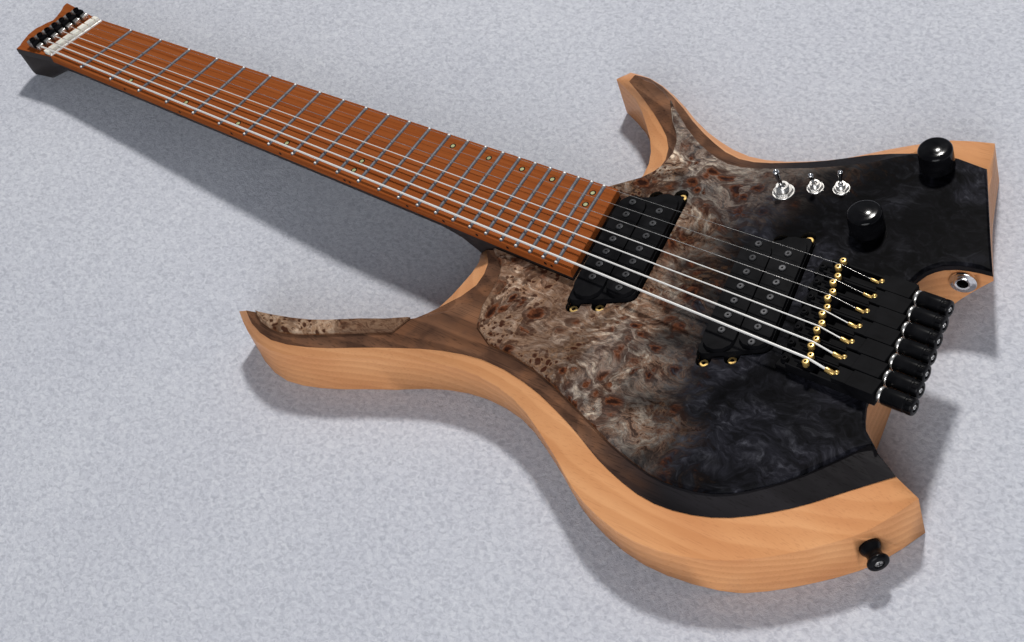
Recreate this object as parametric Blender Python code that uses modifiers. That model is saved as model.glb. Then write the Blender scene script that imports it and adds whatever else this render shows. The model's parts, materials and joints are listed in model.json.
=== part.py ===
# Headless seven-string electric guitar with fanned frets.
# It lies on its back: +X runs from the nut to the tail, +Y from bass to treble, +Z out of the fretboard.
# The origin is on the flat back, on the centre line between the two pickups. Units are metres.

import math

import bmesh
import bpy
from mathutils import Matrix, Vector

MM = 0.001

# Clearances
SEAT = 0.3 * MM            # between a piece and the one it rests on or sits in
RUNNING = 0.15 * MM        # round a shaft in its bearing

# Strings and scale, from bass to treble
STRING_GAUGES = [1.42, 1.07, 0.81, 0.61, 0.41, 0.28, 0.23]
STRING_COUNT = len(STRING_GAUGES)
SCALE_BASS = 673.1 * MM
SCALE_TREBLE = 647.7 * MM
NEUTRAL_FRET = 7           # the one fret that lies square across the neck
FRET_COUNT = 24
BRIDGE_BASS_X = 113.1 * MM
NUT_SPREAD = 39.6 * MM     # outer string to outer string
BRIDGE_SPREAD = 64.7 * MM
COMPENSATION_BASS = 7.5 * MM
COMPENSATION_TREBLE = 4.0 * MM

# Body
BODY_DEPTH = 42.0 * MM
BURL_THICKNESS = 2.2 * MM
CAP_THICKNESS = 3.2 * MM
BEVEL_DROP = 6.0 * MM      # from the stain line down to the top of the wall
BURL_CHAMFER = 1.2 * MM

# Fretboard and neck
BOARD_REVEAL = 2.5 * MM    # neck wood showing between the body's top and the fretboard
BOARD_THICKNESS = 5.5 * MM
BOARD_HALF_NUT = 23.8 * MM
BOARD_HALF_END = 33.4 * MM
BOARD_END_BASS_X = -42.5 * MM
BOARD_END_TREBLE_X = -57.0 * MM
FRET_WIDTH = 2.4 * MM
FRET_HEIGHT = 1.2 * MM
NECK_DEPTH_NUT = 14.5 * MM
NECK_DEPTH_HEEL = 17.0 * MM
HEEL_FLOOR = 24.0 * MM     # height of the neck pocket's floor over the back
HEAD_LENGTH = 40.0 * MM    # from the zero fret's bass end to the end of the head
HEAD_DEPTH = 23.5 * MM     # black block under the head's face
HEAD_BLOCK = 21.0 * MM     # length of the block's flat underside
HEAD_UNDERCUT = 4.0 * MM   # how far the end face leans in under the head
HEAD_FLARE = 0.11          # growth of the head's half width for each unit past the nut
NECK_MARGIN = 0.4 * MM     # neck wood inside the fretboard's edge, on each side
HEEL_X = -124.0 * MM       # where the heel is fully square
POCKET_RUNOUT = 26.0 * MM  # how far the neck pocket's cutter runs on in front of the heel
NUT_WIDTH = 5.0 * MM
NUT_HEIGHT = 3.0 * MM      # over the fretboard
NUT_SLOT = 2.0 * MM

# String locks behind the nut
LOCK_LENGTH = 15.0 * MM
LOCK_WIDTH = 5.4 * MM
LOCK_HEIGHT = 5.2 * MM
LOCK_SETBACK = 7.5 * MM    # from the nut to the front of the lock
LOCK_SCREW_RADIUS = 2.2 * MM
LOCK_SCREW_HEIGHT = 2.4 * MM

# Bridge units, one for each string
UNIT_PITCH = BRIDGE_SPREAD / (STRING_COUNT - 1)
UNIT_WIDTH = UNIT_PITCH - 0.4 * MM
UNIT_FRONT = 12.0 * MM     # from the front of the base to the scale line
UNIT_REAR = 49.0 * MM      # from the scale line to the rear face of the base
UNIT_SCREW_SETBACK = 3.2 * MM   # from the front to the screw that holds the base down
UNIT_FLOOR = 2.0 * MM
UNIT_WALL = 1.2 * MM
UNIT_WALL_HEIGHT = 6.6 * MM
UNIT_BLOCK_LENGTH = 16.5 * MM
UNIT_BLOCK_HEIGHT = 9.6 * MM
SADDLE_LENGTH = 9.0 * MM
SADDLE_TOP = 10.6 * MM     # over the body's top
BALL_RADIUS = 2.0 * MM
BALL_WIDTH = 3.6 * MM
BALL_HEIGHT = 6.0 * MM     # axis over the body's top
BALL_TO_REAR_BASS = 24.5 * MM
BALL_TO_REAR_TREBLE = 19.5 * MM
TUNER_AXIS_HEIGHT = 5.0 * MM
TUNER_RADIUS = 4.9 * MM
TUNER_LENGTH = 19.0 * MM
TUNER_COLLAR = 2.4 * MM
TUNER_SCREW_RADIUS = 1.5 * MM

# Pickups
PICKUP_NECK_X = -27.0 * MM
PICKUP_BRIDGE_X = 64.0 * MM
PICKUP_NECK_LEAN = 13.5    # degrees from square across the strings
PICKUP_BRIDGE_LEAN = 15.5
COIL_LENGTH = 82.0 * MM
COIL_WIDTH = 18.4 * MM
COIL_GAP = 0.8 * MM
COIL_HEIGHT = 15.0 * MM
PICKUP_RISE = 5.0 * MM     # coil tops over the body's top
TRAY_RIM = 0.6 * MM        # the tray's edge outside the coils
TRAY_CORNER = 6.0 * MM
TRAY_STEP = 2.4 * MM       # from the coil tops down to the tray's top
EAR_WIDTH = 6.4 * MM
EAR_REACH = 3.2 * MM       # from the coil's end to the mounting screw
EAR_CORNER = 15.0 * MM     # from the middle of the pickup to its outer ears
EAR_TOP = 4.0 * MM         # under the body's top
EAR_THICKNESS = 2.0 * MM
EAR_ROOT = 8.0 * MM        # how far an ear runs back into the tray
POLE_RADIUS = 2.3 * MM
ROUT_CLEARANCE = 1.2 * MM
ROUT_DEPTH = 20.0 * MM

# Controls
VOLUME_AT = (103.0 * MM, 128.0 * MM)
TONE_AT = (92.5 * MM, 69.5 * MM)
KNOB_RADIUS = 10.2 * MM
KNOB_HEIGHT = 15.0 * MM
POT_RADIUS = 8.5 * MM
POT_DEPTH = 8.0 * MM
POT_BUSHING_RADIUS = 3.9 * MM
SHAFT_RADIUS = 3.0 * MM
SWITCHES = {
    "selector": {"at": (32.0 * MM, 76.0 * MM), "size": 1.3, "swing": (-1.0, 0.0)},
    "neck_coil": {"at": (47.5 * MM, 86.0 * MM), "size": 1.0, "swing": (0.0, -1.0)},
    "bridge_coil": {"at": (62.0 * MM, 91.0 * MM), "size": 1.0, "swing": (0.0, 1.0)},
}
SWITCH_LEAN = 12.0         # degrees from upright, at either end of the throw
CAVITY_WALL_COVER = 4.0 * MM
COVER_THICKNESS = 2.0 * MM
JACK_AT = (152.5 * MM, 66.6 * MM)
JACK_TURN = 110.0          # degrees from +X to the way into the body
JACK_RING_RADIUS = 7.6 * MM
JACK_MARGIN = 0.4 * MM     # from the jack's flange up to the top of the wooden core
JACK_BARREL_RADIUS = 4.6 * MM
JACK_BARREL_LENGTH = 24.0 * MM
JACK_BORE = 3.25 * MM      # takes a plug 6.35 mm thick
STRAP_TAIL_AT = (192.0 * MM, -98.5 * MM, 16.0 * MM)
STRAP_TAIL_TURN = -35.0
STRAP_HORN_AT = (-190.0 * MM, -131.6 * MM, 16.0 * MM)
STRAP_HORN_TURN = 106.5
STRAP_RADIUS = 6.0 * MM
STRAP_LENGTH = 13.0 * MM

# Outline stations in millimetres, clockwise from above, from the tail point of the bass side.
# Each has the wall, the stain line and the edge of the cap's flat top. One point alone has no bevel.
STATIONS = [
    ((205.6, -70.5), (192.0, -67.6), (172.0, -57.9)),
    ((194.5, -97.0), (177.0, -84.5), (163.0, -73.0)),
    ((173.0, -122.0), (156.5, -107.5), (146.0, -97.0)),
    ((133.0, -150.5), (123.0, -131.5), (117.0, -121.0)),
    ((92.0, -159.5), (91.0, -138.3), (90.0, -126.3)),
    ((52.0, -152.0), (56.0, -132.0), (58.0, -121.7)),
    ((11.0, -131.0), (15.5, -116.4), (18.0, -108.7)),
    ((-29.0, -113.6), (-26.0, -104.6), (-22.0, -97.1)),
    ((-60.0, -109.6), (-60.0, -102.3), (-60.0, -93.6)),
    ((-90.0, -113.5), (-87.0, -107.8), (-84.0, -98.4)),
    ((-131.0, -128.8), (-127.0, -123.8), (-122.0, -112.2)),
    ((-171.0, -146.8), (-169.0, -143.0), (-164.0, -133.5)),
    ((-196.0, -152.6), (-195.0, -149.0), (-189.0, -143.6)),
    ((-222.0, -147.4), (-217.0, -144.6), (-208.0, -142.8)),
    ((-239.5, -137.8), (-229.0, -138.2), (-218.0, -138.0)),
    ((-202.0, -134.5),),
    ((-178.0, -127.4),),
    ((-148.0, -112.6),),
    ((-122.6, -95.6), (-121.0, -97.0), (-119.0, -98.5)),
    ((-117.2, -79.0), (-110.0, -79.5), (-99.0, -82.0)),
    ((-116.0, -57.0), (-101.3, -58.0), (-86.0, -58.0)),
    ((-118.0, -38.5), (-106.5, -40.0), (-93.0, -42.0)),
    ((-126.0, -24.0), (-122.0, -24.0), (-116.0, -25.0)),
    ((-110.0, 3.0),),
    ((-88.0, 27.0),),
    ((-68.5, 48.5), (-62.0, 51.0), (-57.0, 53.5)),
    ((-66.0, 63.5), (-54.5, 66.0), (-50.5, 69.0)),
    ((-74.0, 83.0), (-60.0, 85.0), (-55.0, 88.5)),
    ((-92.0, 102.5), (-77.0, 100.5), (-68.0, 102.0)),
    ((-113.0, 119.5), (-101.0, 115.5), (-94.0, 118.5)),
    ((-137.5, 131.0), (-122.0, 127.0), (-108.0, 125.0)),
    ((-132.0, 139.8), (-122.0, 133.5), (-109.0, 128.5)),
    ((-116.0, 139.8), (-110.0, 134.0), (-102.0, 128.0)),
    ((-90.4, 131.6), (-86.0, 125.6), (-81.0, 117.5)),
    ((-50.0, 111.4), (-46.5, 104.3), (-42.0, 93.0)),
    ((-13.0, 103.0), (-13.0, 93.8), (-13.0, 84.0)),
    ((31.5, 117.0), (27.0, 107.0), (24.0, 95.0)),
    ((72.0, 147.0), (69.0, 131.5), (66.0, 117.5)),
    ((92.5, 160.0), (94.0, 140.3), (92.0, 137.0)),
    ((116.5, 166.8), (126.5, 141.0), (128.5, 137.0)),
    ((143.0, 113.5),),
    ((156.5, 91.0),),
    ((169.5, 70.0),),
    ((156.0, 68.3),),
    ((143.5, 63.5),),
    ((137.0, 56.0),),
    ((134.5, 45.0),),
    ((156.5, -37.0),),
    ((165.0, -51.5),),
    ((177.5, -60.8),),
]
CORNERS = {0, 14, 30, 31, 39, 42, 46, 47}
OUTLINE_STEP = 13.0 * MM
BURL_FROM, BURL_TO = 33, 8            # stations that the main burl follows, round the tail
BURL_CUTAWAY = (20, 28)               # and along the two cutaways
BURL_HORN = (10, 18)                  # and on the bass horn
VALLEY = [(-76.0, -86.0), (-83.0, -72.0)]

# Wood taken off the back
BELLY_CENTRE = (5.0 * MM, -158.0 * MM, -60.0 * MM)
BELLY_RADII = (235.0 * MM, 160.0 * MM, 74.5 * MM)
TAIL_BEVEL = [(116.5, 166.8, 0.0), (137.0, 66.0, 0.0), (170.0, 68.0, 33.0)]
TAIL_BEVEL_REACH = 150.0 * MM   # depth of the block that cuts it away
CAVITY = [(17, 60), (17, 92), (46, 108), (80, 137), (112, 139), (131, 108), (120, 56)]

# Colours as seen in the photograph: base colour, roughness, metallic
FINISHES = {
    "natural_ash": ((0.68, 0.42, 0.20), 0.45, 0.0),
    "stained_ash": ((0.09, 0.08, 0.08), 0.35, 0.0),
    "burl": ((0.30, 0.20, 0.14), 0.25, 0.0),
    "roasted_maple": ((0.42, 0.15, 0.05), 0.4, 0.0),
    "black_lacquer": ((0.015, 0.014, 0.015), 0.35, 0.0),
    "bone": ((0.80, 0.78, 0.70), 0.4, 0.0),
    "black_metal": ((0.012, 0.012, 0.013), 0.35, 0.6),
    "steel": ((0.72, 0.71, 0.69), 0.25, 1.0),
    "chrome": ((0.80, 0.80, 0.80), 0.1, 1.0),
    "black_plastic": ((0.02, 0.02, 0.02), 0.4, 0.0),
}

BODY_TOP = BODY_DEPTH
BURL_BOTTOM = BODY_TOP - BURL_THICKNESS
CAP_TOP = BURL_BOTTOM - SEAT
CAP_BOTTOM = CAP_TOP - CAP_THICKNESS
CORE_TOP = CAP_BOTTOM - SEAT
WALL_TOP = CORE_TOP - BEVEL_DROP
BOARD_BOTTOM = BODY_TOP + BOARD_REVEAL
BOARD_TOP = BOARD_BOTTOM + BOARD_THICKNESS
NECK_TOP = BOARD_BOTTOM - SEAT
UNIT_BOTTOM = BODY_TOP + SEAT


# Scene and objects

def clear_scene():
    for obj in list(bpy.data.objects):
        bpy.data.objects.remove(obj, do_unlink=True)


def collection(name):
    group = bpy.data.collections.new(name)
    bpy.context.scene.collection.children.link(group)
    return group


clear_scene()
GUITAR = collection("headless_guitar")
CUTTERS = collection("cutters")
MATERIALS = {}


def material(name):
    if name not in MATERIALS:
        colour, roughness, metallic = FINISHES[name]
        made = bpy.data.materials.new(name)
        made.use_nodes = True
        shader = made.node_tree.nodes["Principled BSDF"]
        shader.inputs["Base Color"].default_value = (*colour, 1.0)
        shader.inputs["Roughness"].default_value = roughness
        shader.inputs["Metallic"].default_value = metallic
        made.diffuse_color = (*colour, 1.0)
        MATERIALS[name] = made
    return MATERIALS[name]


def object_from(bm, name, finish=None, smooth=None):
    """Turn a bmesh into an object, in the guitar's collection if it has a finish."""
    bm.normal_update()
    bmesh.ops.recalc_face_normals(bm, faces=bm.faces)
    mesh = bpy.data.meshes.new(name)
    bm.to_mesh(mesh)
    bm.free()
    obj = bpy.data.objects.new(name, mesh)
    if finish:
        GUITAR.objects.link(obj)
        mesh.materials.append(material(finish))
    else:
        CUTTERS.objects.link(obj)
        obj.hide_render = True
        obj.display_type = "WIRE"
    if smooth:
        mesh.shade_smooth()
        mesh.set_sharp_from_angle(angle=math.radians(smooth))
    return obj


def boolean(target, tool, operation):
    modifier = target.modifiers.new(operation.lower() + "_" + tool.name, "BOOLEAN")
    modifier.operation = operation
    modifier.object = tool
    return target


def cut(target, *tools):
    for tool in tools:
        boolean(target, tool, "DIFFERENCE")
    return target


def join(target, *tools):
    for tool in tools:
        boolean(target, tool, "UNION")
    return target


# Shapes

def box(name, low, high, finish=None):
    bm = bmesh.new()
    size = Vector(high) - Vector(low)
    middle = (Vector(high) + Vector(low)) / 2
    bmesh.ops.create_cube(bm, size=1.0, matrix=Matrix.Translation(middle) @ Matrix.Diagonal((*size, 1.0)))
    return object_from(bm, name, finish)


def round_bar(name, start, end, radius, sides=16, finish=None):
    """A cylinder between two points."""
    start = Vector(start)
    along = Vector(end) - start
    bm = bmesh.new()
    bmesh.ops.create_cone(bm, cap_ends=True, segments=sides, depth=along.length,
                          radius1=radius, radius2=radius)
    turn = along.to_track_quat("Z", "Y").to_matrix().to_4x4()
    bm.transform(Matrix.Translation(start + along / 2) @ turn)
    return object_from(bm, name, finish, smooth=40)


def plate(name, outline, bottom, top, finish=None):
    """A flat outline raised into a solid, made as a filled curve."""
    curve = bpy.data.curves.new(name, "CURVE")
    curve.dimensions = "2D"
    curve.fill_mode = "BOTH"
    curve.extrude = (top - bottom) / 2
    line = curve.splines.new("POLY")
    line.points.add(len(outline) - 1)
    for point, (x, y) in zip(line.points, outline):
        point.co = (x, y, 0.0, 1.0)
    line.use_cyclic_u = True
    guide = bpy.data.objects.new(name + "_curve", curve)
    guide.location.z = (top + bottom) / 2
    bpy.context.scene.collection.objects.link(guide)
    bpy.context.view_layer.update()
    mesh = bpy.data.meshes.new_from_object(guide.evaluated_get(bpy.context.evaluated_depsgraph_get()))
    bm = bmesh.new()
    bm.from_mesh(mesh)
    bm.transform(guide.matrix_world)
    bmesh.ops.remove_doubles(bm, verts=bm.verts, dist=1e-6)
    bpy.data.objects.remove(guide, do_unlink=True)
    bpy.data.meshes.remove(mesh)
    return object_from(bm, name, finish)


def loft(name, rings, finish=None, smooth=None):
    """A skin through rings of as many points each, closed at both ends."""
    bm = bmesh.new()
    rows = [[bm.verts.new(point) for point in ring] for ring in rings]
    for lower, upper in zip(rows, rows[1:]):
        for i in range(len(lower)):
            j = (i + 1) % len(lower)
            bm.faces.new((lower[i], lower[j], upper[j], upper[i]))
    bm.faces.new(rows[0])
    bm.faces.new(rows[-1])
    return object_from(bm, name, finish, smooth)


def turned(name, profile, finish, origin, axis="Z", steps=24, smooth=35):
    """A profile of (radius, height) pairs, outer side top to bottom, spun round its axis."""
    mesh = bpy.data.meshes.new(name)
    mesh.from_pydata([(radius, 0.0, height) for radius, height in profile],
                     [(i, i + 1) for i in range(len(profile) - 1)], [])
    obj = bpy.data.objects.new(name, mesh)
    GUITAR.objects.link(obj)
    mesh.materials.append(material(finish))
    screw = obj.modifiers.new("turn", "SCREW")
    screw.axis = "Z"
    screw.steps = steps
    screw.render_steps = steps
    screw.use_merge_vertices = True
    screw.merge_threshold = 1e-6
    screw.use_smooth_shade = True
    obj.location = origin
    obj.rotation_euler = {"Z": (0, 0, 0), "X": (0, math.radians(90), 0)}[axis]
    return obj


def tube(name, points, radius, finish, sides=2):
    """A round wire along points, made as a curve and then a mesh."""
    curve = bpy.data.curves.new(name, "CURVE")
    curve.dimensions = "3D"
    curve.bevel_depth = radius
    curve.bevel_resolution = sides
    curve.use_fill_caps = True
    line = curve.splines.new("POLY")
    line.points.add(len(points) - 1)
    for point, place in zip(line.points, points):
        point.co = (*place, 1.0)
    guide = bpy.data.objects.new(name + "_curve", curve)
    bpy.context.scene.collection.objects.link(guide)
    bpy.context.view_layer.update()
    mesh = bpy.data.meshes.new_from_object(guide.evaluated_get(bpy.context.evaluated_depsgraph_get()))
    bm = bmesh.new()
    bm.from_mesh(mesh)
    bmesh.ops.remove_doubles(bm, verts=bm.verts, dist=1e-6)
    bpy.data.objects.remove(guide, do_unlink=True)
    bpy.data.meshes.remove(mesh)
    return object_from(bm, name, finish, smooth=50)


# The fan of strings and frets

def scale_fraction(fret):
    return 1.0 - 2.0 ** (-fret / 12.0)


NUT_BASS_X = BRIDGE_BASS_X - SCALE_BASS
NEUTRAL_X = NUT_BASS_X + SCALE_BASS * scale_fraction(NEUTRAL_FRET)
NUT_TREBLE_X = NEUTRAL_X - SCALE_TREBLE * scale_fraction(NEUTRAL_FRET)
BRIDGE_TREBLE_X = NUT_TREBLE_X + SCALE_TREBLE


def mix(a, b, share):
    return a + (b - a) * share


def across(side):
    """Share of the way from bass to treble of side, which is -1 at the bass string and 1 at the treble."""
    return (side + 1.0) / 2.0


def fan_point(side, fraction):
    """Where a string of this side is, as seen from above, at a fraction of its scale from the nut."""
    x_nut = mix(NUT_BASS_X, NUT_TREBLE_X, across(side))
    x_bridge = mix(BRIDGE_BASS_X, BRIDGE_TREBLE_X, across(side))
    y_nut = side * NUT_SPREAD / 2
    y_bridge = side * BRIDGE_SPREAD / 2
    return mix(x_nut, x_bridge, fraction), mix(y_nut, y_bridge, fraction)


def string_side(index):
    return -1.0 + 2.0 * index / (STRING_COUNT - 1)


def board_half_width(x):
    share = (x - NUT_BASS_X) / (BOARD_END_BASS_X - NUT_BASS_X)
    return mix(BOARD_HALF_NUT, BOARD_HALF_END, max(share, 0.0))


def fan_line(fraction, inset):
    """The two ends of a line across the board through the fan at a fraction of the scale."""
    x_bass, y_bass = fan_point(-1.0, fraction)
    x_treble, y_treble = fan_point(1.0, fraction)
    slope = (x_treble - x_bass) / (y_treble - y_bass)
    ends = []
    for sign in (-1, 1):
        y = sign * (board_half_width((x_bass + x_treble) / 2) - inset)
        ends.append((x_bass + slope * (y - y_bass), y))
    return ends


# Body

def smooth_ring(points, corners, counts):
    """Points along a closed curve through the stations, with sharp turns at the corners."""
    total = len(points)
    vectors = [Vector(p) * MM for p in points]

    def tangent(i, leaving):
        here = vectors[i]
        before = vectors[i - 1]
        after = vectors[(i + 1) % total]
        if i in corners:
            return (after - here) if leaving else (here - before)
        back = (here - before).length
        ahead = (after - here).length
        share = back / (back + ahead)
        return (here - before) * ((1 - share) / max(back, 1e-9)) + (after - here) * (share / max(ahead, 1e-9))

    ring = []
    for i in range(total):
        j = (i + 1) % total
        start, end = vectors[i], vectors[j]
        span = (end - start).length
        leave = tangent(i, True).normalized() * span if span > 1e-9 else Vector((0, 0))
        arrive = tangent(j, False).normalized() * span if span > 1e-9 else Vector((0, 0))
        for step in range(counts[i]):
            t = step / counts[i]
            ring.append(
                start * (2 * t**3 - 3 * t**2 + 1) + leave * (t**3 - 2 * t**2 + t)
                + end * (3 * t**2 - 2 * t**3) + arrive * (t**3 - t**2)
            )
    return ring


def station_points(layer):
    return [station[min(layer, len(station) - 1)] for station in STATIONS]


def span_counts():
    walls = station_points(0)
    counts = []
    for i, here in enumerate(walls):
        there = walls[(i + 1) % len(walls)]
        length = math.dist(here, there) * MM
        counts.append(max(2, round(length / OUTLINE_STEP)))
    return counts


COUNTS = span_counts()
RINGS = [smooth_ring(station_points(layer), CORNERS, COUNTS) for layer in range(3)]
FIRST_SAMPLE = [sum(COUNTS[:i]) for i in range(len(COUNTS) + 1)]


def raised(ring, height):
    return [(point[0], point[1], height) for point in ring]


def cap_edge(first, last):
    """Samples of the cap's edge from one station to another, clockwise."""
    edge = RINGS[2]
    start, end = FIRST_SAMPLE[first], FIRST_SAMPLE[last]
    if end < start:
        return edge[start:] + edge[:end + 1]
    return edge[start:end + 1]


def burl_plate(name, outline):
    inner = []
    total = len(outline)
    for i in range(total):
        before, here, after = (Vector(outline[k % total][:2]) for k in (i - 1, i, i + 1))
        along = (after - before).normalized()
        inward = Vector((along.y, -along.x))
        inner.append(here + inward * BURL_CHAMFER)
    shoulder = BODY_TOP - BURL_CHAMFER
    rings = [raised(outline, BURL_BOTTOM), raised(outline, shoulder), raised(inner, BODY_TOP)]
    return loft(name, rings, "burl")


def make_body():
    wall, stain, cap = RINGS
    layers = [raised(wall, 0.0), raised(wall, WALL_TOP), raised(stain, CORE_TOP)]
    core = loft("body_core", layers, "natural_ash")
    stained = loft("stained_cap", [raised(stain, CAP_BOTTOM), raised(cap, CAP_TOP)], "stained_ash")
    first, last = BURL_CUTAWAY
    valley = [Vector(p) * MM for p in VALLEY]
    burl = burl_plate("burl_top", cap_edge(BURL_FROM, BURL_TO) + valley + cap_edge(first, last))
    horn = burl_plate("burl_horn", cap_edge(*BURL_HORN))
    return core, stained, burl, horn


def belly_cutter():
    bm = bmesh.new()
    bmesh.ops.create_uvsphere(bm, u_segments=40, v_segments=20, radius=1.0,
                              matrix=Matrix.Translation(BELLY_CENTRE) @ Matrix.Diagonal((*BELLY_RADII, 1.0)))
    return object_from(bm, "belly_contour")


def tail_bevel_cutter():
    """A block whose top face is the slanting plane under the treble tail point."""
    a, b, c = (Vector(p) * MM for p in TAIL_BEVEL)
    along = (b - a).normalized()
    normal = along.cross(c - a).normalized()
    if normal.z > 0:
        normal = -normal
    side = normal.cross(along)
    reach = TAIL_BEVEL_REACH
    centre = (a + b) / 2 + normal * reach / 2
    turn = Matrix((along, side, normal)).transposed().to_4x4()
    bm = bmesh.new()
    size = Matrix.Diagonal((2 * reach, 2 * reach, reach, 1))
    bmesh.ops.create_cube(bm, size=1.0, matrix=Matrix.Translation(centre) @ turn @ size)
    return object_from(bm, "tail_bevel")


def neck_pocket_cutter():
    """The slot that takes the neck's heel, open at the front."""
    front = HEEL_X - POCKET_RUNOUT
    outline = [(front, -board_half_width(front) - SEAT)]
    outline.append((BOARD_END_BASS_X + SEAT, -board_half_width(BOARD_END_BASS_X) - SEAT))
    outline.append((BOARD_END_TREBLE_X + SEAT, board_half_width(BOARD_END_TREBLE_X) + SEAT))
    outline.append((front, board_half_width(front) + SEAT))
    return plate("neck_pocket", outline, HEEL_FLOOR, BOARD_TOP)


# Pickups

def lean_matrix(x, lean):
    return Matrix.Translation((x, 0, 0)) @ Matrix.Rotation(math.radians(lean), 4, "Z")


def stadium(x, lean, offset, length, width, grow=0.0, sides=6):
    """A round-ended outline across the strings, slid along itself so that its ends stay level."""
    radius = width / 2 + grow
    straight = length / 2 - width / 2
    shift = offset * math.tan(math.radians(lean))
    points = []
    for end in (1, -1):
        for step in range(sides + 1):
            angle = math.radians(180 * step / sides) + (0 if end > 0 else math.pi)
            along_it = shift + end * straight + radius * math.sin(angle)
            points.append((offset + radius * math.cos(angle), along_it))
    placed = lean_matrix(x, lean)
    return [tuple((placed @ Vector((px, py, 0)))[:2]) for px, py in points]


COIL_OFFSET = (COIL_WIDTH + COIL_GAP) / 2
EARS = [(0.0, 1), (EAR_CORNER, 1), (0.0, -1), (-EAR_CORNER, -1)]


def rounded(corners, reach, sides=4):
    """A polygon whose corners are cut back by reach and rounded."""
    points = []
    total = len(corners)
    for i, corner in enumerate(corners):
        here = Vector(corner)
        back = (Vector(corners[i - 1]) - here).normalized() * reach
        ahead = (Vector(corners[(i + 1) % total]) - here).normalized() * reach
        for step in range(sides + 1):
            share = step / sides
            points.append(here + back * (1 - share) ** 2 + ahead * share**2)
    return points


def tray_outline(x, lean, grow=0.0):
    """The outline round both coils, whose ends stay level while its sides lean."""
    half = COIL_WIDTH + COIL_GAP / 2 + grow
    reach = COIL_LENGTH / 2 + grow
    slide = half * math.tan(math.radians(lean))
    corners = [(half, reach + slide), (-half, reach - slide), (-half, -reach - slide), (half, -reach + slide)]
    placed = lean_matrix(x, lean)
    return [tuple((placed @ point.to_3d())[:2]) for point in rounded(corners, TRAY_CORNER)]


def ear_centre(lean, offset, end):
    """Where a mounting screw stands, from the pickup's middle: across it, then along it."""
    return offset, end * (COIL_LENGTH / 2 + EAR_REACH) + offset * math.tan(math.radians(lean))


def ear_outline(x, lean, offset, end, grow=0.0, sides=6):
    """A round-ended tab for a mounting screw, running back under the tray."""
    radius = EAR_WIDTH / 2 + grow
    across_it, tip = ear_centre(lean, offset, end)
    root = tip - end * (EAR_REACH + EAR_ROOT)
    points = [(across_it + radius, root)]
    for step in range(sides + 1):
        angle = math.radians(180 * step / sides)
        points.append((across_it + radius * math.cos(angle), tip + end * radius * math.sin(angle)))
    points.append((across_it - radius, root))
    placed = lean_matrix(x, lean)
    return [tuple((placed @ Vector((px, py, 0)))[:2]) for px, py in points]


def rout_cutters(name, x, lean):
    """The routed hole for a pickup: its tray, and a lobe at each mounting screw."""
    bottom = BODY_TOP - ROUT_DEPTH
    tools = [plate(f"{name}_rout", tray_outline(x, lean, TRAY_RIM + ROUT_CLEARANCE), bottom, BOARD_TOP)]
    for number, (offset, end) in enumerate(EARS):
        outline = ear_outline(x, lean, offset, end, ROUT_CLEARANCE)
        tools.append(plate(f"{name}_lobe_{number}", outline, bottom, BOARD_TOP))
    return tools


def pole_places(x, lean, offset):
    """A pole under each string, on one coil's long axis."""
    placed = lean_matrix(x, lean)
    axis_point = placed @ Vector((offset, 0, 0))
    direction = (placed @ Vector((offset, 1, 0))) - axis_point
    places = []
    for index in range(STRING_COUNT):
        side = string_side(index)
        fraction = (axis_point.x - NUT_BASS_X) / SCALE_BASS
        y = fan_point(side, fraction)[1]
        along = (y - axis_point.y) / direction.y
        places.append(axis_point + direction * along)
    return places


def make_pickup(name, x, lean):
    """Two coils side by side in a tray, with a pole under each string and an ear at each mounting screw."""
    screw_bottom = BODY_TOP - ROUT_DEPTH + SEAT
    coil_top = BODY_TOP + PICKUP_RISE
    coil_bottom = coil_top - COIL_HEIGHT
    tray = plate(name, tray_outline(x, lean, TRAY_RIM), coil_bottom, coil_top - TRAY_STEP, "black_plastic")
    tools = []
    for number, offset in enumerate((-COIL_OFFSET, COIL_OFFSET)):
        outline = stadium(x, lean, offset, COIL_LENGTH, COIL_WIDTH)
        tools.append(plate(f"{name}_coil_{number}", outline, coil_bottom + 1 * MM, coil_top))
        for index, place in enumerate(pole_places(x, lean, offset)):
            tools.append(round_bar(f"{name}_pole_{number}_{index}", (place.x, place.y, coil_top - 2 * MM),
                                   (place.x, place.y, coil_top + 0.5 * MM), POLE_RADIUS, 6))
    top = BODY_TOP - EAR_TOP
    for number, (offset, end) in enumerate(EARS):
        outline = ear_outline(x, lean, offset, end)
        tools.append(plate(f"{name}_ear_{number}", outline, top - EAR_THICKNESS, top))
        place = lean_matrix(x, lean) @ Vector((*ear_centre(lean, offset, end), 0))
        foot, head = (place.x, place.y, screw_bottom), (place.x, place.y, top + 0.4 * MM)
        tools.append(round_bar(f"{name}_screw_{number}", foot, head, 1.6 * MM, 8))
        tools.append(round_bar(f"{name}_head_{number}", (place.x, place.y, top - 0.4 * MM),
                               (place.x, place.y, top + 1.6 * MM), 2.6 * MM, 8))
    return join(tray, *tools)


# Fretboard, neck and head

# The head's end: how far each side of the middle is from the head's length, in millimetres
HEAD_END = [
    (-1.25, 1.0), (-1.0, -1.0), (-0.6, -3.0), (-0.25, -2.6), (0.1, 0.5),
    (0.4, 4.5), (0.65, 4.0), (1.0, 1.5), (1.25, -1.0),
]


def head_end_x(y):
    """The head's end in plan, a shallow S from bass to treble."""
    side = y / (NUT_SPREAD / 2)
    base = NUT_BASS_X - HEAD_LENGTH
    for (s0, x0), (s1, x1) in zip(HEAD_END, HEAD_END[1:]):
        if side <= s1:
            share = max(0.0, (side - s0) / (s1 - s0))
            ease = share * share * (3 - 2 * share)
            return base + mix(x0, x1, ease) * MM
    return base + HEAD_END[-1][1] * MM


def head_half_width(x):
    """The head flares a little past the nut."""
    past = max(0.0, NUT_BASS_X - x)
    return BOARD_HALF_NUT + HEAD_FLARE * past


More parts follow.
